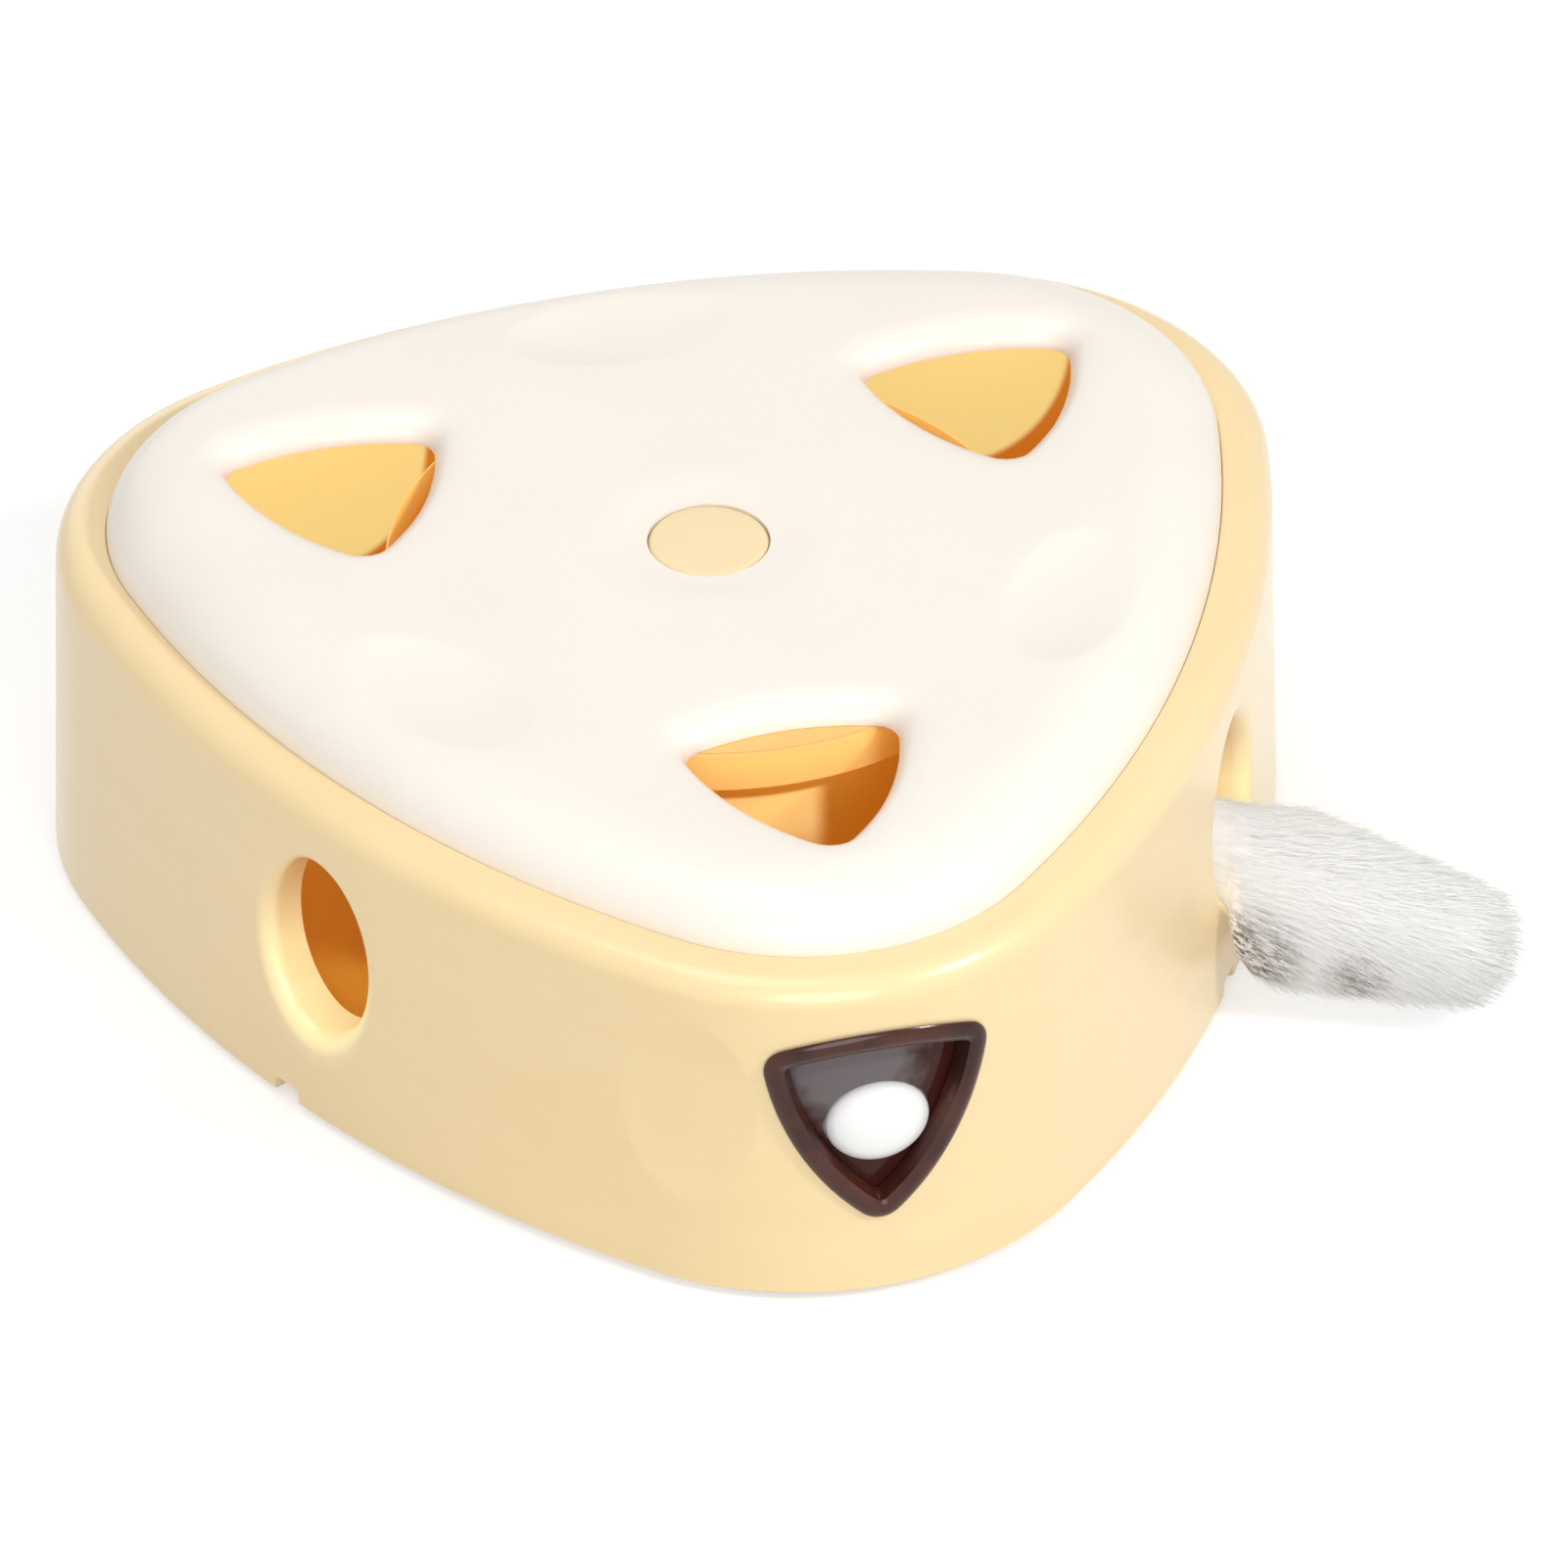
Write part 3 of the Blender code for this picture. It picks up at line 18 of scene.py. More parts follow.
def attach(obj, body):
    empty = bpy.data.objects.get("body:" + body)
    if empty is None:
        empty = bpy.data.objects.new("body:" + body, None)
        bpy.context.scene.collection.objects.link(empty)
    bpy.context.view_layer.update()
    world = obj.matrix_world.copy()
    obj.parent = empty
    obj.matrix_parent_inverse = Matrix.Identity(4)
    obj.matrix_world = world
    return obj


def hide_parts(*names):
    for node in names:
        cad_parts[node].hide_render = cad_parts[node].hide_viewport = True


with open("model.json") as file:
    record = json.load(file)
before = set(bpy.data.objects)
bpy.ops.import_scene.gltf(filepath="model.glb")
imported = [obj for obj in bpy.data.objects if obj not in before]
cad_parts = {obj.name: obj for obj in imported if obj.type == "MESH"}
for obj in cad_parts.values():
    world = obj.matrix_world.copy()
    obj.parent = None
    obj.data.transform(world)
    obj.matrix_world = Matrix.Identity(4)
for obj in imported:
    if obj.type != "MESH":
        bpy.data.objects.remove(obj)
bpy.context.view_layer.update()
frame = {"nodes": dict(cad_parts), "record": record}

# %% [markdown]
# The photograph looks down on the toy from a little to the left of the front corner. The camera
# was worked out from the three-fold outline of the case: a long lens from about two metres away,
# so the upright edges stay nearly parallel.

# %% Camera
sight_point = Vector((-0.004974, -0.06965, 0.0730))
away = Vector((-0.19854, -0.77247, 0.60321)).normalized()
camera_distance, lens_mm, sensor_mm = 2.2065, 312.08, 36.0


def placed(name, data):
    """A new object that is part of the scene."""
    made = bpy.data.objects.new(name, data)
    bpy.context.scene.collection.objects.link(made)
    return made


def set_up(holder, place, backwards):
    """Stand a camera or lamp at a place, with its back turned to a direction."""
    holder.location = place
    holder.rotation_euler = backwards.to_track_quat("Z", "Y").to_euler()


camera_data = bpy.data.cameras.new("camera")
camera_data.lens, camera_data.sensor_width, camera_data.clip_end = lens_mm, sensor_mm, 20.0
camera = placed("camera", camera_data)
set_up(camera, sight_point + away * camera_distance, away)
bpy.context.scene.camera = camera
print("camera at", [round(value, 3) for value in camera.location])


# %% [markdown]
# Floor, sky and every finish are node graphs. Writing each node out takes several lines, so one
# small class adds a node, sets it up, and feeds each of its sockets with a value or a link.

# %% Node graphs in short form
class Graph:
    """A node tree to which nodes are added with their settings and what feeds their sockets."""

    def __init__(self, tree):
        self.nodes, self.links = tree.nodes, tree.links

    def feed(self, node, values):
        """Give sockets a value, a colour, or a link from a socket or a node's first output."""
        for title, value in values.items():
            socket = node.inputs[title]
            if isinstance(value, bpy.types.Node):
                value = value.outputs[0]
            if isinstance(value, bpy.types.NodeSocket):
                self.links.new(value, socket)
            else:
                socket.default_value = (*value, 1) if socket.type == "RGBA" else value
        return node

    def add(self, kind, values=None, **settings):
        node = self.nodes.new(kind)
        for name, value in settings.items():
            setattr(node, name, value)
        return self.feed(node, values or {})

    def math(self, operation, *values):
        return self.add("ShaderNodeMath", dict(enumerate(values)), operation=operation).outputs[0]

    def vector_math(self, operation, first, second):
        place = 3 if operation == "SCALE" else 1
        node = self.add("ShaderNodeVectorMath", {0: first, place: second}, operation=operation)
        return node.outputs["Value" if operation in ("DOT_PRODUCT", "DISTANCE") else "Vector"]

    def remap(self, value, start, end, low=0.0, high=1.0, **settings):
        """Low where the value is at its start and high at its end, and between them between."""
        return self.add("ShaderNodeMapRange", {"Value": value, "From Min": start, "From Max": end,
                                               "To Min": low, "To Max": high},
                        **settings).outputs["Result"]

    def mix(self, share, low, high):
        return self.add("ShaderNodeMix", {"Factor": share, "A": low, "B": high},
                        data_type="RGBA").outputs["Result"]

    def object_place(self):
        return self.add("ShaderNodeTexCoord").outputs["Object"]

    def attribute(self, name):
        return self.add("ShaderNodeAttribute", attribute_name=name).outputs["Fac"]


def new_surface(name):
    """A new material, its graph and the surface shader in it."""
    look = bpy.data.materials.new(name)
    look.use_nodes = True
    graph = Graph(look.node_tree)
    return look, graph, graph.nodes["Principled BSDF"]


# %% [markdown]
# The floor and the air around it are plain white, as in the picture. Light Path lets the camera,
# mirrors and clear plastic see white there, while the toy itself is lit only by the soft lamps
# and a dim even sky, so its pale plastics keep their shades.

# %% Floor and sky
def white_to_the_eye(graph, sight_shader, light_shader):
    """Camera, mirror and clear-plastic rays see one shader, all other rays the other."""
    path = graph.add("ShaderNodeLightPath").outputs
    seen = graph.math("MAXIMUM", path["Is Camera Ray"], path["Is Glossy Ray"])
    seen = graph.math("MAXIMUM", seen, path["Is Transmission Ray"])
    return graph.add("ShaderNodeMixShader", {0: seen, 1: light_shader, 2: sight_shader})


def make_floor(half_side):
    corners = [(x * half_side, y * half_side, 0) for x, y in ((-1, -1), (1, -1), (1, 1), (-1, 1))]
    mesh = bpy.data.meshes.new("floor")
    mesh.from_pydata(corners, [], [(0, 1, 2, 3)])
    look, graph, plain = new_surface("floor_white")
    graph.feed(plain, {"Base Color": (0.60, 0.60, 0.60), "Roughness": 0.9})
    paper = graph.add("ShaderNodeBsdfDiffuse", {"Color": (0.62, 0.62, 0.62)})
    lift = graph.add("ShaderNodeEmission", {"Strength": 0.52})
    both = graph.add("ShaderNodeAddShader", {0: paper, 1: lift})
    graph.feed(graph.nodes["Material Output"], {"Surface": white_to_the_eye(graph, both, plain)})
    mesh.materials.append(look)
    placed("floor", mesh)


make_floor(3.0)

sky = bpy.data.worlds.new("sky")
bpy.context.scene.world = sky
sky.use_nodes = True
air = Graph(sky.node_tree)
sky_light = air.feed(air.nodes["Background"], {"Color": (1.0, 0.985, 0.96), "Strength": 0.48})
sky_sight = air.add("ShaderNodeBackground", {"Color": (1, 1, 1)})
air.feed(air.nodes["World Output"], {"Surface": white_to_the_eye(air, sky_sight, sky_light)})
bpy.context.scene.view_settings.view_transform = "Standard"

# %% Lamps, all aimed at the middle of the case
lamp_aim = Vector((0, 0, 0.04))
for name, heading_deg, rise_deg, distance, size, power, colour in (
        ("key_lamp", 318.0, 42.0, 1.9, 0.22, 10.9, (1.0, 0.985, 0.955)),
        ("front_lamp", 262.0, 24.0, 1.8, 1.1, 10.1, (1, 1, 1)),
        ("left_lamp", 205.0, 74.0, 1.8, 1.2, 6.9, (1, 1, 1)),
        ("back_lamp", 95.0, 14.0, 2.0, 1.2, 2.6, (1, 1, 1))):
    heading, rise = math.radians(heading_deg), math.radians(rise_deg)
    place = Vector((distance * math.cos(heading) * math.cos(rise),
                    distance * math.sin(heading) * math.cos(rise), distance * math.sin(rise)))
    lamp = bpy.data.lights.new(name, "AREA")
    lamp.shape, lamp.size, lamp.energy, lamp.color = "DISK", size, power, colour
    set_up(placed(name, lamp), place, place - lamp_aim)

# %% [markdown]
# Everything on the case follows one outline: a triangle with round corners and slightly bowed
# sides, made of six arcs that meet smoothly. A point on it is given by how far along the wall it
# lies, and how far it stands out from the line where cover and shell meet. With that, holes and
# dents can be laid out flat, as on a label, and then wrapped onto the wall.

# %% The outline, as arcs
third = 2 * math.pi / 3


class BowedTriangle:
    """Round corners on circles of one radius, sides on larger circles, all tangent."""

    def __init__(self, spread, rounding, bulge, heading_deg, wrap_swell=0.0):
        side_radius = rounding + bulge / 2 + 3 * spread * spread / (8 * bulge)
        setback = side_radius - (spread / 2 + rounding + bulge)
        side_half = math.atan2(math.sqrt(3) / 2 * spread, spread / 2 + setback)
        self.corner_half = third / 2 - side_half
        self.wrap_swell = wrap_swell
        self.arcs = []
        place = -self.corner_half * (rounding + wrap_swell)
        for corner in range(3):
            for half, reach, radius, turn in ((self.corner_half, spread, rounding, 0.0),
                                              (side_half, -setback, side_radius, third / 2)):
                aim = math.radians(heading_deg) + corner * third + turn
                centre = (reach * math.cos(aim), reach * math.sin(aim))
                self.arcs.append((place, centre, radius, aim - half, aim))
                place += 2 * half * (radius + wrap_swell)
        self.length = place - self.arcs[0][0]
        self.starts = np.array([arc[0] for arc in self.arcs] + [place])

    def wrap(self, along, swell):
        """Points on the outline, along it by the wrapped length and out from it by swell."""
        along = np.mod(np.asarray(along, float) - self.starts[0], self.length) + self.starts[0]
        which = np.clip(np.searchsorted(self.starts, along, side="right") - 1, 0, 5)
        centre, radius, first = (np.array([arc[part] for arc in self.arcs])[which]
                                 for part in (1, 2, 3))
        turn = first + (along - self.starts[which]) / (radius + self.wrap_swell)
        out = np.stack([np.cos(turn), np.sin(turn)], -1)
        return centre + out * (radius + swell)[..., None]

    def middle_of(self, number):
        """Wrapped length at the middle of an arc: even numbers are corners, odd ones sides."""
        return (self.starts[number] + self.starts[number + 1]) / 2

    def depth(self, x, y):
        """How far inside the outline points lie; negative outside."""
        result = np.full(np.shape(x), np.inf)
        for start, centre, radius, first, aim in self.arcs[1::2]:
            result = np.minimum(result, radius - np.hypot(x - centre[0], y - centre[1]))
        for start, centre, radius, first, aim in self.arcs[0::2]:
            dx, dy = x - centre[0], y - centre[1]
            off = np.abs(np.mod(np.arctan2(dy, dx) - aim + math.pi, 2 * math.pi) - math.pi)
            result = np.where(off <= self.corner_half, radius - np.hypot(dx, dy), result)
        return result

    def ring(self, count, swell=0.0, centre=(0.0, 0.0)):
        """Evenly spaced points anticlockwise round the outline."""
        return self.wrap(self.length * np.arange(count) / count, swell) + np.array(centre)


corner_spread, corner_round, side_bulge = 0.0604, 0.0430, 0.0086
foot_swell, shoulder_swell = 0.0104, 0.0086
case = BowedTriangle(corner_spread, corner_round, side_bulge, 30.0, foot_swell)
print("case outline", round(case.length * 1000, 1), "mm round")


# %% Headings round the axis
def towards(heading_deg):
    turn = math.radians(heading_deg)
    return np.array([math.cos(turn), math.sin(turn)])


def level_way(heading_deg):
    return np.array([*towards(heading_deg), 0.0])


def seen_from(flat, heading, radius):
    """How far forth and left points lie, from a place out at a heading and a radius."""
    local = flat - towards(heading) * radius
    return local @ towards(heading), local @ towards(heading + 90.0)


def set_out(flat, heading, radius):
    """A shape turned to a heading and moved out to a radius."""
    forth, left = towards(heading), towards(heading + 90.0)
    return np.outer(flat[:, 0], forth) + np.outer(flat[:, 1], left) + forth * radius


# %% [markdown]
# Smooth mouldings with holes are meshed in two steps. Rings of points go where the surface bends,
# such as the lip of an opening, and an even grid fills the rest. A triangulation that keeps the
# hole's edges joins them, and the points are then lifted into place, so lips and dents blend into
# the surface with no seam.

# %% Points laid out flat
row_height = 0.866


def oval(place, middle, half_width, half_height, count=96):
    turn = 2 * math.pi * np.arange(count) / count
    return np.column_stack([place + half_width * np.cos(turn), middle + half_height * np.sin(turn)])


def circle(radius, count=96, centre=(0.0, 0.0)):
    return oval(*centre, radius, radius, count)


def pairs(first, second):
    """Points from two rows of numbers, of which one may be a single number."""
    return np.stack(np.broadcast_arrays(first, second), -1)


def with_level(flat, level):
    """Flat points with a third number beside each: a height, or a depth under the wall."""
    return np.column_stack([flat, np.broadcast_to(level, len(flat))])


def staggered(heights, start, end, step):
    """Rows of points a step apart, with every other row moved by half a step."""
    return np.vstack([pairs(np.arange(start + (row % 2) * step / 2, end, step), height)
                      for row, height in enumerate(heights)])


def within(outline, x, y):
    """Whether points lie inside a closed outline, by counting crossings."""
    inside = np.zeros(x.shape, bool)
    for (x0, y0), (x1, y1) in zip(np.roll(outline, 1, axis=0), outline):
        if y0 != y1:
            crosses = (y0 > y) != (y1 > y)
            inside ^= crosses & (x < (x1 - x0) * (y - y0) / (y1 - y0) + x0)
    return inside


def thin_out(candidates, taken, gap):
    """Keep the points that lie at least a gap from those taken and from each other."""
    cells, kept = {}, []

    def cell(point):
        return int(point[0] // gap), int(point[1] // gap)

    def near(point):
        column, row = cell(point)
        return any((other[0] - point[0]) ** 2 + (other[1] - point[1]) ** 2 < gap * gap
                   for across in (-1, 0, 1) for up in (-1, 0, 1)
                   for other in cells.get((column + across, row + up), ()))

    for point in np.asarray(taken).tolist():
        cells.setdefault(cell(point), []).append(point)
    for point in np.asarray(candidates).tolist():
        if not near(point):
            cells.setdefault(cell(point), []).append(point)
            kept.append(point)
    return np.array(kept)


# %% Skins put together from rings and fillings
layout_scale, join_distance = 1000.0, 1e-6


class Skin:
    """Vertices and faces of one closed piece."""

    def __init__(self):
        self.points, self.faces = [], []

    def add(self, points):
        points = np.atleast_2d(np.asarray(points, float))
        first = len(self.points)
        self.points.extend(map(tuple, points))
        return list(range(first, first + len(points)))

    def bridge(self, lower, upper):
        self.faces.extend(zip(lower, lower[1:] + lower[:1], upper[1:] + upper[:1], upper))

    def cap(self, ring, point):
        """Close a ring with a fan of triangles to a point."""
        pole = self.add(point)[0]
        self.faces.extend((here, there, pole) for here, there in zip(ring, ring[1:] + ring[:1]))

    def stack(self, rings):
        """Bridge a list of point rings and give back the vertex rings."""
        made = [self.add(ring) for ring in rings]
        for lower, upper in zip(made, made[1:]):
            self.bridge(lower, upper)
        return made

    def fill(self, loops, even, gap, rings, level_of, lift):
        """Fill a flat layout inside its first loop and outside the others.

        A loop is its vertices and their layout. The filling has the rings, whose points bring
        their levels, and the even points that lie a gap away from all else."""
        layouts = [np.asarray(layout) for vertices, layout in loops]

        def allowed(x, y):
            inside = within(layouts[0], x, y)
            for hole in layouts[1:]:
                inside &= ~within(hole, x, y)
            return inside

        even = even[allowed(*even.T)]
        kept = thin_out(even, np.vstack(layouts + [ring[:, :2] for ring in rings]), gap)
        inner = np.vstack([with_level(kept, level_of(kept))] + rings)
        index, edges = [], []
        for vertices, layout in loops:
            first, count = len(index), len(vertices)
            index.extend(vertices)
            edges.extend((first + here, first + (here + 1) % count) for here in range(count))
        index.extend(self.add(lift(inner)))
        flat = np.vstack(layouts + [inner[:, :2]]) * layout_scale
        made, _, triangles, origin, _, _ = delaunay_2d_cdt([Vector(point) for point in flat],
                                                           edges, [], 0, 1e-5)
        corners = np.array([list(face) for face in triangles])
        middle = (np.array([tuple(point) for point in made]) / layout_scale)[corners].mean(axis=1)
        for face in corners[allowed(*middle.T)]:
            self.faces.append(tuple(index[origin[corner][0]] for corner in face))


def make_piece(name, skin, look, sharp_deg=40.0, inside=None):
    """Turn a skin into a smooth-shaded object whose faces point outwards.

    inside is a second look and a test of face middles and normals that picks its faces."""
    mesh = bpy.data.meshes.new(name)
    mesh.from_pydata(skin.points, [], skin.faces)
    shape = bmesh.new()
    shape.from_mesh(mesh)
    bmesh.ops.remove_doubles(shape, verts=shape.verts, dist=join_distance)
    bmesh.ops.recalc_face_normals(shape, faces=shape.faces)
    if shape.calc_volume(signed=True) < 0:
        bmesh.ops.reverse_faces(shape, faces=shape.faces)
    open_edges = sum(1 for edge in shape.edges if len(edge.link_faces) != 2)
    shape.to_mesh(mesh)
    shape.free()
    mesh.shade_smooth()
    mesh.set_sharp_from_angle(angle=math.radians(sharp_deg))
    mesh.materials.append(look)
    if inside:
        mesh.materials.append(inside[0])
        middle, normal = np.empty((2, len(mesh.polygons) * 3))
        mesh.polygons.foreach_get("center", middle)
        mesh.polygons.foreach_get("normal", normal)
        chosen = inside[1](middle.reshape(-1, 3), normal.reshape(-1, 3))
        mesh.polygons.foreach_set("material_index", chosen.astype(np.int32))
    print(name, len(mesh.polygons), "faces, open edges", open_edges)
    return placed(name, mesh)


def quarter_roll(share):
    """Drop of a quarter-round edge, 1 at its brink and 0 where it meets the surface."""
    share = np.clip(share, 0.0, 1.0)
    return 1.0 - np.sqrt(np.maximum(0.0, 1.0 - (1.0 - share) ** 2))


def soft_step(value):
    value = np.clip(value, 0.0, 1.0)
    return value * value * (3 - 2 * value)


def quarter_turns(count, first_deg=0.0, last_deg=90.0):
    return np.radians(np.linspace(first_deg, last_deg, count))


# %% [markdown]
# The yellow shell is a moulding about 2.4 mm thick. Its wall leans in a little towards the top,
# rolls over into a rim, and steps down to a ledge that the cover sits on and hooks under. Three
# oval holes for the tail end in collars, the front corner has the window, and shallow ovals are
# pressed in beside the corners. Rings of points follow the section where nothing interrupts it,
# and two patches, one outside and one inside, carry the holes.

# %% Shell measures
case_height, rim_height, shell_lift = 0.0730, 0.0630, 0.0012
shell_wall, clearance = 0.0024, 0.0003
shoulder_round, foot_chamfer, rim_gap, rim_ease = 0.0050, 0.0006, 0.0001, 0.0002
ledge_top, ledge_under, slope_foot, ledge_reach = 0.0603, 0.0587, 0.0522, 0.0030
ledge_inner_swell = -0.0006
hole_half_width, hole_half_height, hole_middle = 0.0115, 0.27 * rim_height, 0.548 * rim_height
hole_lip, collar_wall, collar_depth = 0.0032, 0.0018, 0.0082
dimple_half_width, dimple_half_height = 0.0120, 0.286 * rim_height
dimple_middle, dimple_depth, dimple_shift = 0.571 * rim_height, 0.0009, 0.0325
notch_width, notch_height, notch_shift, notch_ease = 0.0058, 0.0026, 0.0060, 0.0005
window_spread, window_round, window_bulge = (share * rim_height
                                             for share in (0.273, 0.0714, 0.0381))
window_middle, window_inset = 0.603 * rim_height, 0.0005
socket_middle, socket_half_width, socket_half_height = 0.0090, 0.0048, 0.0019
socket_heading = 118.0

# Spacing of the points. The gaps and the margin are shares of a step.
outer_step, inner_step, seam_points, round_points = 0.0021, 0.0034, 28, 360
wall_gap, wall_margin, dent_shares = 0.62, 0.4, (0.6, 0.75, 0.85, 0.92, 0.97, 1.0)

shoulder_foot = rim_height - shoulder_round
corner_places = [case.middle_of(number) for number in (0, 2, 4)]
hole_places = [case.middle_of(number) for number in (1, 3, 5)]
hole_headings = [90.0, 210.0, 330.0]
front_place = corner_places[2]
window = BowedTriangle(window_spread, window_round, window_bulge, 270.0)


# %% The wall, from how far along it and how high a point lies
def wall_swell(height):
    share = (height - shell_lift) / (shoulder_foot - shell_lift)
    return foot_swell + (shoulder_swell - foot_swell) * share


def inner_swell(height):
    """The inner wall, which slopes in under the ledge."""
    foot = wall_swell(slope_foot) - shell_wall
    share = np.clip((height - slope_foot) / (ledge_under - slope_foot), 0, 1)
    return np.where(height < slope_foot, wall_swell(height) - shell_wall,
                    foot + (ledge_inner_swell - foot) * share)


def on_wall(rows):
    """Rows of place, height and depth, wrapped onto the outside of the wall."""
    along, height, depth = np.asarray(rows).T
    return with_level(case.wrap(along, wall_swell(height) - depth), height)


def on_inner_wall(rows):
    along, height, depth = np.asarray(rows).T
    return with_level(case.wrap(along, inner_swell(height)), height)


def pressed(share):
    """Depth of a pressed oval: flat in its middle, closing softly at its edge."""
    return (1 - np.clip(share, 0, 1) ** 3.2) ** 1.3


def wall_depth(flat):
    """How deep the ovals beside the corners are pressed in, counted round past the seam."""
    depth, turn = np.zeros(len(flat)), case.length
    for place in corner_places:
        apart = np.mod(flat[:, 0] - place + dimple_shift + turn / 2, turn) - turn / 2
        depth += dimple_depth * pressed(np.hypot(apart / dimple_half_width, (
            flat[:, 1] - dimple_middle) / dimple_half_height))
    return depth


def at_heading(swell, heading_deg):
    """Wrapped length at which the wall crosses a heading from the axis."""
    along = np.linspace(0, case.length, 4001)
    turn = np.degrees(np.arctan2(*case.wrap(along, swell).T[::-1]))
    return along[np.argmin(np.abs(np.mod(turn - heading_deg + 180, 360) - 180))]


def window_ring(swell, count=132):
    return window.ring(count, swell, (front_place, window_middle))


def socket_slot(count=48):
    """The round-ended hole for the charging plug."""
    turn = 2 * math.pi * (np.arange(count) + 0.5) / count
    flat = socket_half_width - socket_half_height
    return np.column_stack([at_heading(foot_swell, socket_heading)
                            + np.where(np.cos(turn) > 0, flat, -flat)
                            + socket_half_height * np.cos(turn),
                            socket_middle + socket_half_height * np.sin(turn)])


# %% Rings of the shell, with closely set points at the pry notches of its lower edge
notch_places = [place - notch_shift for place in hole_places]
notch_edges = [place + side * notch_width / 2 for place in notch_places for side in (-1, 1)]
edge_offsets, edge_clear = np.array([-0.7, -0.35, -0.12, 0.12, 0.35, 0.7]) * 0.001, 0.0014
even_places = [place for place in case.length * np.arange(round_points) / round_points
               if min(abs(place - edge) for edge in notch_edges) > edge_clear]
ring_places = np.array(sorted(even_places + [edge + offset for edge in notch_edges
                                             for offset in edge_offsets]))
ring_places[0] = 0.0
notch_rise = notch_height * sum(
    soft_step((notch_width / 2 - np.abs(ring_places - place)) / notch_ease + 0.5)
    for place in notch_places)


def shell_ring(swell, height, lifted=0.0):
    return with_level(case.wrap(ring_places, swell), height + lifted * notch_rise)


def fill_wall(skin, low_ring, high_ring, low, high, holes, rings, surface, step):
    """Fill right round the wall between two rings; the layout meets itself at the seam."""
    heights = np.linspace(low[0], high, seam_points + 2)[1:-1]
    seam_layout = pairs(0.0, heights)
    seam = skin.add(surface(with_level(seam_layout, wall_depth(seam_layout))))
    places, lower = np.append(ring_places, case.length), np.append(low, low[0])
    around = np.vstack([pairs(places, lower), pairs(case.length, heights),
                        pairs(places[::-1], high), seam_layout[::-1]])
    vertices = low_ring + [low_ring[0]] + seam + [high_ring[0]] + high_ring[::-1] + seam[::-1]
    rows = int((high - low.min()) / (step * row_height))
    levels = low.min() + (high - low.min()) * np.arange(1, rows) / rows
    even = staggered(levels, step / 2, case.length - step * wall_margin, step)
    even = even[even[:, 1] > np.interp(even[:, 0], places, lower) + step * wall_margin]
    skin.fill([(vertices, around)] + holes, even, step * wall_gap, rings, wall_depth, surface)


print("holes at", [round(place * 1000, 1) for place in hole_places], "mm along the wall,",
      len(ring_places), "points in each ring of the shell")


# %% Build the shell
def build_shell():
    skin = Skin()
    section = [(shoulder_swell - shoulder_round + shoulder_round * math.cos(turn),
                shoulder_foot + shoulder_round * math.sin(turn)) for turn in quarter_turns(13)]
    section += [(rim_gap + rim_ease, rim_height),
                (rim_gap + rim_ease * 0.3, rim_height - rim_ease * 0.3),
                (rim_gap, rim_height - rim_ease), (rim_gap, ledge_top), (-ledge_reach, ledge_top),
                (-ledge_reach, ledge_under), (ledge_inner_swell, ledge_under)]
    top = skin.stack([shell_ring(*place) for place in section])
    foot = skin.stack([shell_ring(foot_swell - shell_wall, shell_lift, 1.0),
                       shell_ring(foot_swell - foot_chamfer, shell_lift, 1.0),
                       shell_ring(foot_swell, shell_lift + foot_chamfer, 1.0)])

    outer_holes, inner_holes, rings = [], [], []
    for place, heading in zip(hole_places, hole_headings):
        def hole_oval(grow):
            return oval(place, hole_middle, hole_half_width + grow, hole_half_height + grow)

        throat, collar = hole_oval(0.0), hole_oval(collar_wall)
        mouth = skin.add(on_wall(with_level(throat, hole_lip)))
        outer_holes.append((mouth, throat))
        for turn in quarter_turns(10)[1:]:
            rings.append(with_level(hole_oval(hole_lip * (1 - math.cos(turn))),
                                    hole_lip * (1 - math.sin(turn))))
        out = level_way(heading)
        wall_here = on_wall([(place, hole_middle, 0.0)])[0]
        end_reach = wall_here @ out - collar_depth

        def at_end(layout):
            """The collar ends in a flat face that squarely crosses the tail's way."""
            flat = on_wall(with_level(layout, 0.0))
            return flat + np.outer(end_reach - flat @ out, out)

        inner_throat, outer_collar = skin.add(at_end(throat)), skin.add(at_end(collar))
        root = skin.add(on_inner_wall(with_level(collar, 0.0)))
        for lower, upper in ((mouth, inner_throat), (inner_throat, outer_collar),
                             (outer_collar, root)):
            skin.bridge(lower, upper)
        inner_holes.append((root, collar))

    for layout in (window_ring(-window_inset), socket_slot()):
        outside = skin.add(on_wall(with_level(layout, 0.0)))
        inside = skin.add(on_inner_wall(with_level(layout, 0.0)))
        skin.bridge(outside, inside)
        outer_holes.append((outside, layout))
        inner_holes.append((inside, layout))
    for place in corner_places:
        for share in (*dent_shares, 1.04):
            ring = oval(np.mod(place - dimple_shift, case.length), dimple_middle,
                        dimple_half_width * share, dimple_half_height * share, 84)
            rings.append(with_level(ring, wall_depth(ring)))

    fill_wall(skin, foot[-1], top[0], shell_lift + foot_chamfer + notch_rise, shoulder_foot,
              outer_holes, rings, on_wall, outer_step)
    fill_wall(skin, foot[0], top[-1], shell_lift + notch_rise, ledge_under,
              inner_holes, [], on_inner_wall, inner_step)
    return skin


# %% [markdown]
# The white cover is a shallow dish of 2 mm plastic. Its edge rolls over to a flat top, and each
# opening is sunk into it with a wide soft flare that ends in a short throat. Height is worked
# out from how far a point lies from the edge, from the openings, from the button and from the
# pressed ovals, so a single patch carries all of them.

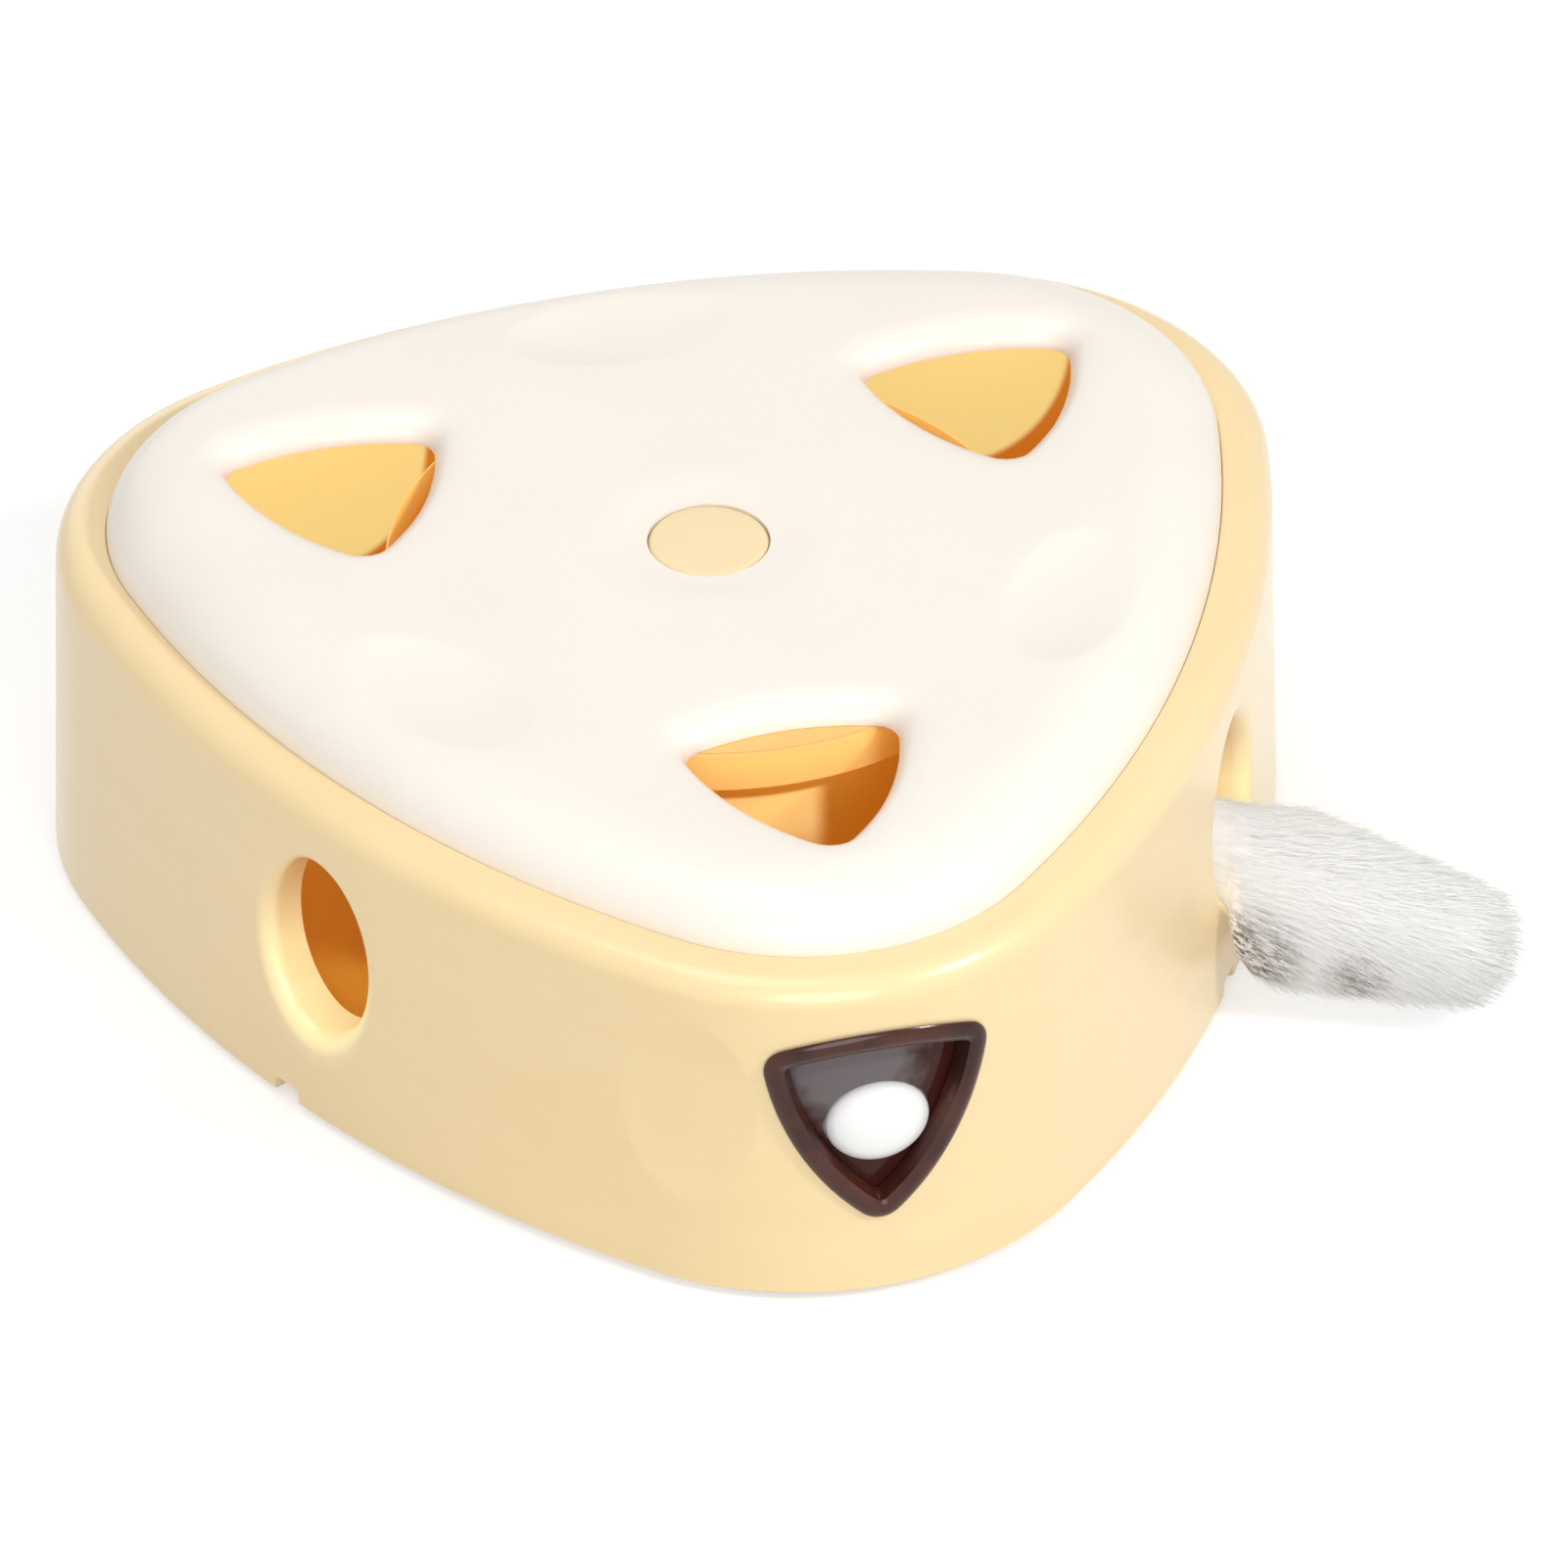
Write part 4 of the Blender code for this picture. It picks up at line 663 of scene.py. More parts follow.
# %% Cover measures
cover_line, cover_lap, cover_wall, cover_ease = rim_height - 0.0004, 0.0020, 0.0020, 0.0003
cover_underside = case_height - cover_wall
cover_roll_in, roll_end_deg = 0.0150, 62
pick_spread, pick_round, pick_bulge, opening_radius = 0.0160, 0.0040, 0.0022, 0.0640
lip_drop, lip_flare, lip_wall, lip_ease = 0.0045, 0.0065, 0.0030, 0.0001
button_radius, button_recess, button_dish, button_dish_depth = 0.0100, 0.0010, 0.0090, 0.0010
top_dimple_radius, top_dimple_half_length = 0.0620, 0.0195
top_dimple_half_width, top_dimple_depth = 0.0110, 0.0015
top_step, under_step, edge_step, ring_gap, plan_gap = 0.0024, 0.0040, 0.0014, 0.0005, 0.66

opening_headings = [270.0, 30.0, 150.0]
pick = BowedTriangle(pick_spread, pick_round, pick_bulge, 0.0)
bore = circle(button_radius + clearance)


def opening_ring(heading, swell, count=117):
    return set_out(pick.ring(count, swell), heading, opening_radius)


def cover_height(flat):
    edge = np.clip(case.depth(*flat.T), 0, cover_roll_in)
    height = cover_line + (case_height - cover_line) * np.sqrt(1 - (1 - edge / cover_roll_in) ** 2)
    for heading in opening_headings:
        out_of_throat = -pick.depth(*seen_from(flat, heading, opening_radius))
        height = height - lip_drop * quarter_roll(out_of_throat / lip_flare)
    for heading in hole_headings:
        forth, left = seen_from(flat, heading, top_dimple_radius)
        height = height - top_dimple_depth * pressed(np.hypot(forth / top_dimple_half_width,
                                                              left / top_dimple_half_length))
    reach = np.hypot(*flat.T) - button_radius - clearance
    return height - button_dish_depth * (1 - soft_step(reach / button_dish))


def underside_height(flat):
    edge = np.clip(case.depth(*flat.T) - cover_wall, 0, cover_roll_in - cover_wall)
    share = 1 - edge / (cover_roll_in - cover_wall)
    return cover_line + (cover_underside - cover_line) * np.sqrt(1 - share ** 2)


# %% Build the cover
def fill_plan(skin, loops, rings, height_of, step):
    """Fill a layout that is seen from above."""
    low, high = loops[0][1].min(axis=0), loops[0][1].max(axis=0)
    rows = np.arange(int((high[1] - low[1]) / (step * row_height)) + 1)
    even = staggered(low[1] + rows * step * row_height, low[0], high[0], step)
    skin.fill(loops, even, step * plan_gap, rings, height_of, np.asarray)


def build_cover():
    skin = Skin()
    roll_turns, under_turns = quarter_turns(15, 0, roll_end_deg), quarter_turns(8, roll_end_deg, 0)
    lap, under_in = cover_line - cover_lap, cover_roll_in - cover_wall
    section = [(under_in * math.cos(turn) - cover_roll_in,
                cover_line + (cover_underside - cover_line) * math.sin(turn))
               for turn in under_turns]
    section += [(-cover_wall, lap + lip_ease), (-cover_wall + cover_ease, lap),
                (-cover_ease, lap), (0.0, lap + cover_ease)]
    section += [(cover_roll_in * (math.cos(turn) - 1),
                 cover_line + (case_height - cover_line) * math.sin(turn)) for turn in roll_turns]
    made = skin.stack([with_level(case.ring(round_points, swell), height)
                       for swell, height in section])

    edge_depth = cover_roll_in * (1 - math.cos(roll_turns[-1]))
    top_loops = [(made[-1], case.ring(round_points, -edge_depth))]
    under_loops = [(made[0], case.ring(round_points, section[0][0]))]
    foot = case_height - lip_drop - lip_ease
    rings = []
    for heading in opening_headings:
        throat, outside = opening_ring(heading, 0.0), opening_ring(heading, lip_wall)
        lip = skin.stack([with_level(throat, cover_height(throat)), with_level(throat, foot),
                          with_level(outside, foot),
                          with_level(outside, underside_height(outside))])
        top_loops.append((lip[0], throat))
        under_loops.append((lip[-1], outside))
        rings += [opening_ring(heading, lip_flare * (1 - math.cos(turn)))
                  for turn in quarter_turns(13)[1:]]
    wall = skin.stack([with_level(bore, cover_height(bore)),
                       with_level(bore, underside_height(bore))])
    top_loops.append((wall[0], bore))
    under_loops.append((wall[1], bore))
    rings += [circle(button_radius + clearance + button_dish * share)
              for share in (0.15, 0.35, 0.55, 0.75, 1.0, 1.3)]
    dimple = circle(1.0, 90) * np.array([top_dimple_half_width, top_dimple_half_length])
    rings += [set_out(dimple * share, heading, top_dimple_radius) for heading in hole_headings
              for share in (*dent_shares, 1.05)]
    rings += [case.ring(340, -depth)
              for depth in np.arange(edge_depth + edge_step, cover_roll_in + 0.002, edge_step)]
    flat = thin_out(np.vstack(rings), [], ring_gap)
    fill_plan(skin, top_loops, [with_level(flat, cover_height(flat))], cover_height, top_step)
    fill_plan(skin, under_loops, [], underside_height, under_step)
    return skin


# %% [markdown]
# Round mouldings come off one section turned about the axis: the drum that carries the tail, the
# pod that hangs from the cover and holds the board, and the button. Their edges are small arcs,
# because a real moulding never has a sharp edge, and the arc catches a thin line of light.

# %% Turned pieces
def eased(section, radius, steps=4):
    """A closed section with each corner replaced by a small curve."""
    section = np.asarray(section, float)
    points = []
    for before, here, after in zip(np.roll(section, 1, axis=0), section,
                                   np.roll(section, -1, axis=0)):
        back, forth = before - here, after - here
        back_length, forth_length = np.linalg.norm(back), np.linalg.norm(forth)
        cut = min(radius, back_length * 0.45, forth_length * 0.45)
        start, end = here + back / back_length * cut, here + forth / forth_length * cut
        for share in np.arange(steps + 1) / steps:
            points.append((1 - share) ** 2 * start + 2 * share * (1 - share) * here
                          + share ** 2 * end)
    return points


def turned(name, section, look, steps=192, closed=True):
    """Turn a section of (radius, height) points; an open one starts and ends on the axis."""
    skin = Skin()
    made = skin.stack([with_level(circle(radius, steps), height)
                       for radius, height in section if radius > join_distance])
    if closed:
        skin.bridge(made[-1], made[0])
    else:
        skin.cap(made[0], (0.0, 0.0, section[0][1]))
        skin.cap(made[-1], (0.0, 0.0, section[-1][1]))
    return make_piece(name, skin, look)


# %% Drum, pod and button
drum_radius, drum_wall, drum_bottom, drum_top, drum_roof = 0.0495, 0.0020, 0.0120, 0.0578, 0.0023
pod_radius, pod_wall, pod_bottom, pod_rim, pod_edge = 0.0540, 0.0018, 0.0604, 0.0682, 0.0004
post_bore_radius, drum_ease, pod_ease, pod_thinning = 0.0053, 0.0009, 0.0003, 0.0030
sill_inner_radius, sill_thickness, sill_heading, sill_half_spread = 0.0474, 0.0012, 270.0, 23.0
button_flange, button_stem, button_foot = 0.0120, 0.0033, 0.0692


def drum_section():
    inner, under = drum_radius - drum_wall, drum_top - drum_roof
    return eased([(drum_radius, drum_bottom), (drum_radius, drum_top), (post_bore_radius, drum_top),
                  (post_bore_radius, under), (inner, under), (inner, drum_bottom)], drum_ease)


def pod_section():
    """The pod's wall thins to a fine edge at its rim, where it passes under the openings."""
    inner, floor, thin = pod_radius - pod_wall, pod_bottom + pod_wall, pod_radius - pod_edge
    return eased([(pod_radius, pod_bottom), (pod_radius, pod_rim), (thin, pod_rim),
                  (inner, pod_rim - pod_thinning), (inner, floor),
                  (post_bore_radius, floor), (post_bore_radius, pod_bottom)], pod_ease)


def build_pod_sill(look):
    """A level sill on the pod's rim that closes the gap behind the front opening."""
    outer, top = pod_radius + 0.00012, pod_rim + 0.00008
    turns = quarter_turns(61, sill_heading - sill_half_spread, sill_heading + sill_half_spread)
    arc = np.column_stack([np.cos(turns), np.sin(turns)])
    outline = np.vstack([outer * arc, sill_inner_radius * arc[::-1]])
    skin = Skin()
    low, high = skin.stack([with_level(outline, top - sill_thickness), with_level(outline, top)])
    for ring, order in ((low, 1), (high, -1)):
        rows = zip(ring, ring[1:len(turns)], ring[:len(turns) - 1:-1][1:], ring[::-1])
        skin.faces.extend(row[::order] for row in rows)
    return make_piece("pod_sill", skin, look, 30.0)


def button_section():
    """Half section of the button, from the crown on the axis to the foot of its stem."""
    face, seat = case_height - button_recess, cover_underside - clearance
    crown = [(0.0, face), (0.004, face - 0.00001), (0.008, face - 0.00005)]
    crown += [(button_radius - inset, face - drop) for inset, drop in (
        (0.0006, 0.0001), (0.00025, 0.0002), (0.00005, 0.00045), (0.0, 0.0007))]
    return crown + [(button_radius, seat), (button_flange - 0.0002, seat),
                    (button_flange, seat - 0.0002), (button_flange, seat - 0.0010),
                    (button_flange - 0.0002, seat - 0.0012), (button_stem, seat - 0.0012),
                    (button_stem, button_foot + 0.0002), (button_stem - 0.0002, button_foot),
                    (0.0, button_foot)]


# %% [markdown]
# The window is a brown polished frame with a rolled face, a smoked plate set back in it, and a
# milky white dome that covers the sensor and stands through the plate. All three are laid out on
# the same wrapped wall as the shell, so they follow its corner.

# %% Window frame, plate and dome
bezel_flange, bezel_wall, bezel_seat, bezel_proud = 0.0010, 0.0014, 0.0005, 0.0007
bezel_face, bezel_barrel, lens_recess, lens_thickness = 0.0034, 0.0060, 0.0026, 0.0012
dome_half_width, dome_half_height, dome_rise = 0.0094, 0.0074, 0.0030
dome_along, dome_middle = front_place + 0.0004, window_middle - 0.0047
plate_half_grid, plate_step, plate_gap = 0.02, 0.0015, 0.0009


def dome_oval(grow, share=1.0):
    return oval(dome_along, dome_middle, (dome_half_width + grow) * share,
                (dome_half_height + grow) * share, 80)


def build_bezel(look):
    inner, bore = -bezel_face, -bezel_flange - bezel_wall
    section = [(0.0, -bezel_seat)]
    section += [(inner * share, -bezel_seat - bezel_proud * math.sin(math.pi * share) ** 0.7)
                for share in np.linspace(0.04, 0.9, 14)]
    section += [(inner, -bezel_seat - bezel_proud * 0.2), (inner, -0.0001),
                (inner - 0.0002, 0.0006), (inner - 0.0003, lens_recess), (bore, lens_recess),
                (bore, bezel_barrel), (-bezel_flange, bezel_barrel), (-bezel_flange, -bezel_seat)]
    skin = Skin()
    made = skin.stack([on_wall(with_level(window_ring(swell), depth)) for swell, depth in section])
    skin.bridge(made[-1], made[0])
    return make_piece("window_frame", skin, look)


def build_plate(look):
    edge, hole = window_ring(-bezel_flange - bezel_wall - clearance), dome_oval(clearance)
    spots = np.arange(-plate_half_grid, plate_half_grid + 0.001, plate_step)
    even = np.array([(front_place + x, window_middle + y) for x in spots for y in spots])
    skin, sides = Skin(), []
    for depth in (lens_recess + clearance, lens_recess + clearance + lens_thickness):
        loops = [(skin.add(on_wall(with_level(layout, depth))), layout) for layout in (edge, hole)]
        skin.fill(loops, even, plate_gap, [], lambda flat: depth, on_wall)
        sides.append(loops)
    for front, back in zip(*sides):
        skin.bridge(front[0], back[0])
    return make_piece("window_plate", skin, look)


def build_dome(look):
    front, seat = lens_recess + clearance, lens_recess + clearance + lens_thickness + clearance
    rings = [(0.02, seat + 0.0012), (0.6, seat + 0.0012), (1.09, seat + 0.0012),
             (1.1, seat + 0.0011), (1.1, seat + 0.0001), (1.09, seat), (1.0, seat)]
    rings += [(math.cos(turn) ** 0.8, front - dome_rise * math.sin(turn))
              for turn in quarter_turns(16, 0, 88)]
    skin = Skin()
    made = skin.stack([on_wall(with_level(dome_oval(0.0, share), depth)) for share, depth in rings])
    for ring, depth in ((made[0], rings[0][1]), (made[-1], rings[-1][1])):
        skin.cap(ring, on_wall([(dome_along, dome_middle, depth)]))
    return make_piece("sensor_cap", skin, look)


# %% [markdown]
# The tail is a soft core with some sixteen thousand hairs on it. A real fur tail is a strip of
# long-pile fur sewn round a stick. The core is a lofted body that droops; hairs grow on it with
# Geometry Nodes, lying back along the tail, each one a thin curved blade with its own length
# and lean. The hairs turn with the drum, because the whole tail rides on it.

# %% Core of the tail
tail_heading, stick_level = 330.0, hole_middle - 0.0045
tail_sections = np.array([
    # reach, drop below the stick, radius
    (0.0826, 0.0004, 0.0030), (0.0834, 0.0010, 0.0056), (0.0850, 0.0022, 0.0068),
    (0.0885, 0.0042, 0.0076), (0.0915, 0.0058, 0.0085), (0.0928, 0.0078, 0.0102),
    (0.0938, 0.0104, 0.0122), (0.0955, 0.0116, 0.0130), (0.0995, 0.0120, 0.0128),
    (0.1060, 0.0126, 0.0119), (0.1130, 0.0135, 0.0108), (0.1200, 0.0144, 0.0097),
    (0.1260, 0.0150, 0.0088), (0.1296, 0.0153, 0.0081), (0.1318, 0.0154, 0.0070),
    (0.1332, 0.0155, 0.0054), (0.1339, 0.0155, 0.0030)])
tail_out, tail_side = level_way(tail_heading), level_way(tail_heading + 90.0)
upright = np.array([0.0, 0.0, 1.0])
root_nudge, tip_nudge = -0.0008, 0.0012


def tail_point(reach, drop):
    return tail_out * reach + upright * (stick_level - drop)


def tail_centre(reach):
    return tail_point(reach, np.interp(reach, tail_sections[:, 0], tail_sections[:, 1]))


def build_tail_core(look):
    """Loft through finely spaced sections, smoothed so that no kink shows."""
    known = np.linspace(0, 1, len(tail_sections))
    rows = np.column_stack([np.interp(np.linspace(0, 1, 70), known, column)
                            for column in tail_sections.T])
    for _ in range(6):
        rows[1:-1] = (rows[:-2] + 2 * rows[1:-1] + rows[2:]) / 4
    skin = Skin()
    made = skin.stack([tail_point(reach, drop) + circle(radius, 56) @ np.array([tail_side, upright])
                       for reach, drop, radius in rows])
    for ring, (reach, drop, radius), nudge in ((made[0], rows[0], root_nudge),
                                               (made[-1], rows[-1], tip_nudge)):
        skin.cap(ring, tail_point(reach + nudge, drop))
    return make_piece("tail_core", skin, look, 80.0)


# %% One hair, and the tree that sets the hairs on the core
hair_length, hair_width, hair_droop = 0.0070, 0.00014, 0.16


def hair_blade():
    """A thin three-sided blade that bows outwards and ends in a fine tip."""
    skin = Skin()
    made = skin.stack([with_level(circle(girth * hair_width / 2, 3, (bow * hair_length, 0.0)),
                                  along * hair_length)
                       for bow, along, girth in ((0.0, 0.0, 1.0), (0.075, 0.35, 0.95),
                                                 (0.080, 0.72, 0.62))])
    skin.cap(made[-1], (0.03 * hair_length, 0.0, hair_length))
    skin.faces.append((2, 1, 0))
    mesh = bpy.data.meshes.new("hair_blade")
    mesh.from_pydata(skin.points, [], skin.faces)
    return placed("hair_blade", mesh)


def fur_tree():
    """Hairs scattered on a surface, lying along one direction, as real mesh."""
    tree = bpy.data.node_groups.new("Fur", "GeometryNodeTree")
    for name, kind, value in (("Geometry", "Geometry", None),
                              ("Hairs per square metre", "Float", 1.0e6), ("Stand", "Float", 0.42),
                              ("Tangle", "Float", 0.16), ("Root reach", "Float", 0.086),
                              ("Full reach", "Float", 0.097), ("Lie", "Vector", None),
                              ("Outwards", "Vector", None), ("Seed", "Int", 1),
                              ("Hair", "Object", None), ("Finish", "Material", None)):
        socket = tree.interface.new_socket(name, in_out="INPUT", socket_type="NodeSocket" + kind)
        if value is not None:
            socket.default_value = value
    tree.interface.new_socket("Geometry", in_out="OUTPUT", socket_type="NodeSocketGeometry")
    graph = Graph(tree)
    given, result = graph.add("NodeGroupInput").outputs, graph.add("NodeGroupOutput")
    scatter = graph.add("GeometryNodeDistributePointsOnFaces", {
        "Mesh": given["Geometry"], "Density": given["Hairs per square metre"],
        "Seed": given["Seed"]}).outputs

    stray = graph.add("FunctionNodeRandomValue", {"Min": (-1, -1, -1), "Max": (1, 1, 1),
                                                  "Seed": given["Seed"]}, data_type="FLOAT_VECTOR")
    standing = graph.vector_math("SCALE", scatter["Normal"], given["Stand"])
    tangled = graph.vector_math("SCALE", stray, given["Tangle"])
    way = graph.vector_math("ADD", graph.vector_math("ADD", standing, given["Lie"]), tangled)
    turn = graph.add("FunctionNodeAxesToRotation", {"Primary Axis": way,
                                                    "Secondary Axis": scatter["Normal"]},
                     primary_axis="Z", secondary_axis="X")

    reach = graph.vector_math("DOT_PRODUCT", graph.add("GeometryNodeInputPosition"),
                              given["Outwards"])
    grown = graph.remap(reach, given["Root reach"], given["Full reach"], 0.22, 1.0)
    varied = graph.add("FunctionNodeRandomValue", {"Min": 0.6, "Max": 1.12}, data_type="FLOAT")
    hair = graph.add("GeometryNodeObjectInfo", {"Object": given["Hair"]})
    hairs = graph.add("GeometryNodeInstanceOnPoints", {
        "Points": scatter["Points"], "Instance": hair.outputs["Geometry"], "Rotation": turn,
        "Scale": graph.math("MULTIPLY", grown, varied.outputs["Value"])})
    shade = graph.add("FunctionNodeRandomValue", data_type="FLOAT")
    for title, kind, value in (("hair_tone", "FLOAT", shade.outputs["Value"]),
                               ("skin_normal", "FLOAT_VECTOR", scatter["Normal"])):
        hairs = graph.add("GeometryNodeStoreNamedAttribute", {"Geometry": hairs}, data_type=kind,
                          domain="INSTANCE")
        graph.feed(hairs, {"Name": title, "Value": value})
    real = graph.add("GeometryNodeRealizeInstances", {"Geometry": hairs})
    dressed = graph.add("GeometryNodeSetMaterial", {"Geometry": real, "Material": given["Finish"]})
    graph.feed(result, {"Geometry": dressed})
    return tree


# %% Grow the hairs and keep them as plain meshes
def soften_normals(mesh, share=0.88):
    """Lean each hair's normals towards its skin, so that the coat is lit as one soft surface."""
    skin_normal, own = np.empty((2, len(mesh.vertices) * 3))
    mesh.attributes["skin_normal"].data.foreach_get("vector", skin_normal)
    mesh.vertices.foreach_get("normal", own)
    leaning = (share * skin_normal + (1 - share) * own).reshape(-1, 3)
    leaning /= np.linalg.norm(leaning, axis=1)[:, None]
    mesh.normals_split_custom_set_from_vertices(leaning.tolist())
    mesh.attributes.remove(mesh.attributes["skin_normal"])


def grow_fur(name, core, tree, look, seed, density, stand):
    """Run the tree on the core and keep its hairs as a plain mesh."""
    blade, carrier = hair_blade(), placed(name + "_carrier", core.data.copy())
    step = carrier.modifiers.new("Fur", "NODES")
    step.node_group = tree
    named = {item.name: item.identifier for item in tree.interface.items_tree
             if item.in_out == "INPUT"}
    for title, value in (("Hairs per square metre", density), ("Stand", stand),
                         ("Lie", tuple(tail_out - upright * hair_droop)),
                         ("Outwards", tuple(tail_out)), ("Seed", seed), ("Hair", blade),
                         ("Finish", look)):
        step[named[title]] = value
    bpy.context.view_layer.update()
    evaluated = carrier.evaluated_get(bpy.context.evaluated_depsgraph_get())
    mesh = bpy.data.meshes.new_from_object(evaluated)
    mesh.name = name
    for helper in (carrier, blade):
        bpy.data.objects.remove(helper)
    mesh.shade_smooth()
    soften_normals(mesh)
    print(name, len(mesh.polygons), "faces")
    return placed(name, mesh)


# %% [markdown]
# A moulded plastic is never one flat colour. Its gloss varies a little, its skin has a very fine
# grain from the mould, and pigment is not quite even. These effects are shared by all the
# plastics, so each is a shader node group with its own inputs, and every material sets its own
# values.

# %% Shared effects
def noise_group(name, patterns):
    """A group of noise patterns on the piece's own coordinates.

    Each pattern has the names of its size and its output, its usual size, its detail, and how
    much its axes are squeezed."""
    group = bpy.data.node_groups.new(name, "ShaderNodeTree")
    for size_name, out_name, size, detail, squeeze in patterns:
        for title, way in ((size_name, "INPUT"), (out_name, "OUTPUT")):
            group.interface.new_socket(title, in_out=way, socket_type="NodeSocketFloat")
    graph = Graph(group)
    given, result = graph.add("NodeGroupInput"), graph.add("NodeGroupOutput")
    place = graph.object_place()
    for size_name, out_name, size, detail, squeeze in patterns:
        group.interface.items_tree[size_name].default_value = size
        spot = place
        if squeeze:
            spot = graph.add("ShaderNodeMapping", {"Vector": place, "Scale": squeeze})
        noise = graph.add("ShaderNodeTexNoise", {
            "Vector": spot, "Detail": detail,
            "Scale": graph.math("DIVIDE", 1.0, given.outputs[size_name])})
        graph.feed(result, {out_name: noise.outputs["Fac"]})
    return group


mould_grain = noise_group("Mould grain", [("Grain size", "Grain", 0.0004, 2.0, None),
                                          ("Patch size", "Patch", 0.03, 3.0, None)])
flow_lines = noise_group("Flow lines", [("Band height", "Bands", 0.006, 2.0, (0.12, 0.12, 1.0))])


def place_group(graph, group, **values):
    made = graph.add("ShaderNodeGroup", node_tree=group)
    return graph.feed(made, {title.replace("_", " ").capitalize(): value
                             for title, value in values.items()})


def blend_colour(graph, share, low, high, span=(0.35, 0.65)):
    """Mix two colours by a mask, over the part of its range that noise fills."""
    return graph.mix(graph.remap(share, *span), low, high)


def moulded_skin(graph, surface, grain, colour, gloss_low, gloss_high, grain_depth):
    """Feed a surface its colour, the uneven gloss of its patches and the bump of its grain."""
    bump = graph.add("ShaderNodeBump", {"Strength": 1.0, "Distance": grain_depth,
                                        "Height": grain.outputs["Grain"]})
    gloss = graph.remap(grain.outputs["Patch"], 0.3, 0.7, gloss_low, gloss_high)
    graph.feed(surface, {"Base Color": colour, "Roughness": gloss, "Normal": bump})


# %% [markdown]
# The plastics. The shell and the cover are glossy but not mirror-like. Thin yellow plastic lets
# some daylight through, and light that has bounced several times inside the case comes back
# deeper and more orange; both are painted here. The inner faces get a darker, more orange yellow
# as painted shade, and masks give them a faint glow as painted light, with painted shadow beside
# it.

# %% Where painted light and shade fall inside the case
# The pools of light and crescents of shade inside the case are painted masks laid out across the
# camera's view; they feed the inner faces' glow.
beam_right, beam_up = (0.96852, -0.24893, 0.0), (0.15016, 0.58422, 0.79758)
painted_light_beams = [((-0.0715, 0.0755), 0.0222), ((0.0415, 0.0930), 0.0202)]
beam_ease = 0.0007


def soft_span(graph, value, dark_end, lit_end):
    """0 at one value and 1 at another, with a soft change between them."""
    return graph.remap(value, dark_end, lit_end, interpolation_type="SMOOTHSTEP")


def spans(*ends):
    """A mask from spans along the piece's own axes, each as (axis, dark end, lit end)."""
    def mask(graph):
        apart = graph.add("ShaderNodeSeparateXYZ", {"Vector": graph.object_place()})
        result, *others = [soft_span(graph, apart.outputs[axis], *pair) for axis, *pair in ends]
        for other in others:
            result = graph.math("MULTIPLY", result, other)
        return result
    return mask


def painted_light_pools(graph):
    """Painted light: two round pools of glow inside the rear openings, with painted dark crescents
    beside them.
    """
    place = graph.object_place()
    across = graph.add("ShaderNodeCombineXYZ", {
        title: graph.vector_math("DOT_PRODUCT", place, way)
        for title, way in (("X", beam_right), ("Y", beam_up))})
    return graph.math("MAXIMUM", *(
        soft_span(graph, graph.vector_math("DISTANCE", across, (*centre, 0.0)),
                  radius + beam_ease, radius - beam_ease) for centre, radius in painted_light_beams))


def painted_bore_light(graph):
    """Painted light: how much glow is painted into the bores of the holes, as noted on the shell's
    points.
    """
    return graph.attribute("painted_bore_light")


# %% Moulded plastics
def plastic(name, light, dark, gloss, grain_size=0.0005, grain_depth=0.000004, patch_size=0.035,
            painted_glow=None, painted_glow_strength=0.0, lit=None, shade=(0, 0, 0), coat=0.0, banded=False,
            **plain):
    """Two close shades by patches, mould grain, and a painted glow of light where a mask picks it.

    plain gives further sockets their one value."""
    look, graph, surface = new_surface(name)
    grain = place_group(graph, mould_grain, grain_size=grain_size, patch_size=patch_size)
    share = grain.outputs["Patch"]
    if banded:
        lines = place_group(graph, flow_lines, band_height=0.007)
        share = graph.math("ADD", graph.math("MULTIPLY", share, 0.5),
                           graph.math("MULTIPLY", lines.outputs["Bands"], 0.5))
    moulded_skin(graph, surface, grain, blend_colour(graph, share, dark, light),
                 gloss - 0.05, gloss + 0.05, grain_depth)
    # Painted light and shade: where the mask is lit the surface glows with the glow colour,
    # elsewhere with the shade colour, a dim painted bounce light.
    if lit:
        graph.feed(surface, {"Emission Color": graph.mix(lit(graph), shade, painted_glow),
                             "Emission Strength": painted_glow_strength})
    graph.feed(surface, {"Coat Weight": coat, "Coat Roughness": 0.22, **plain})
    return look


# The shell's yellow glows as painted light in the lower lips and bores of the side holes.
shell_yellow = plastic("shell_yellow", (0.950, 0.745, 0.418), (0.930, 0.716, 0.384), 0.32,
                       coat=0.60, banded=True, painted_glow=(0.92, 0.95, 0.47), painted_glow_strength=0.30,
                       lit=painted_bore_light)
# Inner faces: a darker, more orange copy of the shell's yellow as painted shade, glowing in the
# pools of painted light and dim orange in the painted shadow beside them.
inside_painted_light_and_shade = plastic("inside_painted_light_and_shade", (0.950, 0.640, 0.230), (0.935, 0.615, 0.210), 0.42,
                        painted_glow=(0.90, 1.0, 0.40), painted_glow_strength=0.52, lit=painted_light_pools,
                        shade=(0.30, 0.09, 0.005))
# Drum: its deeper orange is painted shade; its wall glows as painted light higher up, with painted
# shadow in a strip at its top under the pod and towards +X.
drum_painted_light_and_shade = plastic("drum_painted_light_and_shade", (0.945, 0.560, 0.110), (0.93, 0.535, 0.095), 0.34,
                      painted_glow=(1.0, 0.72, 0.28), painted_glow_strength=0.56, shade=(0.15, 0.056, 0.0),
                      lit=spans(("Z", 0.036, 0.050), ("Z", 0.0558, 0.0549), ("X", 0.0085, 0.0045)))
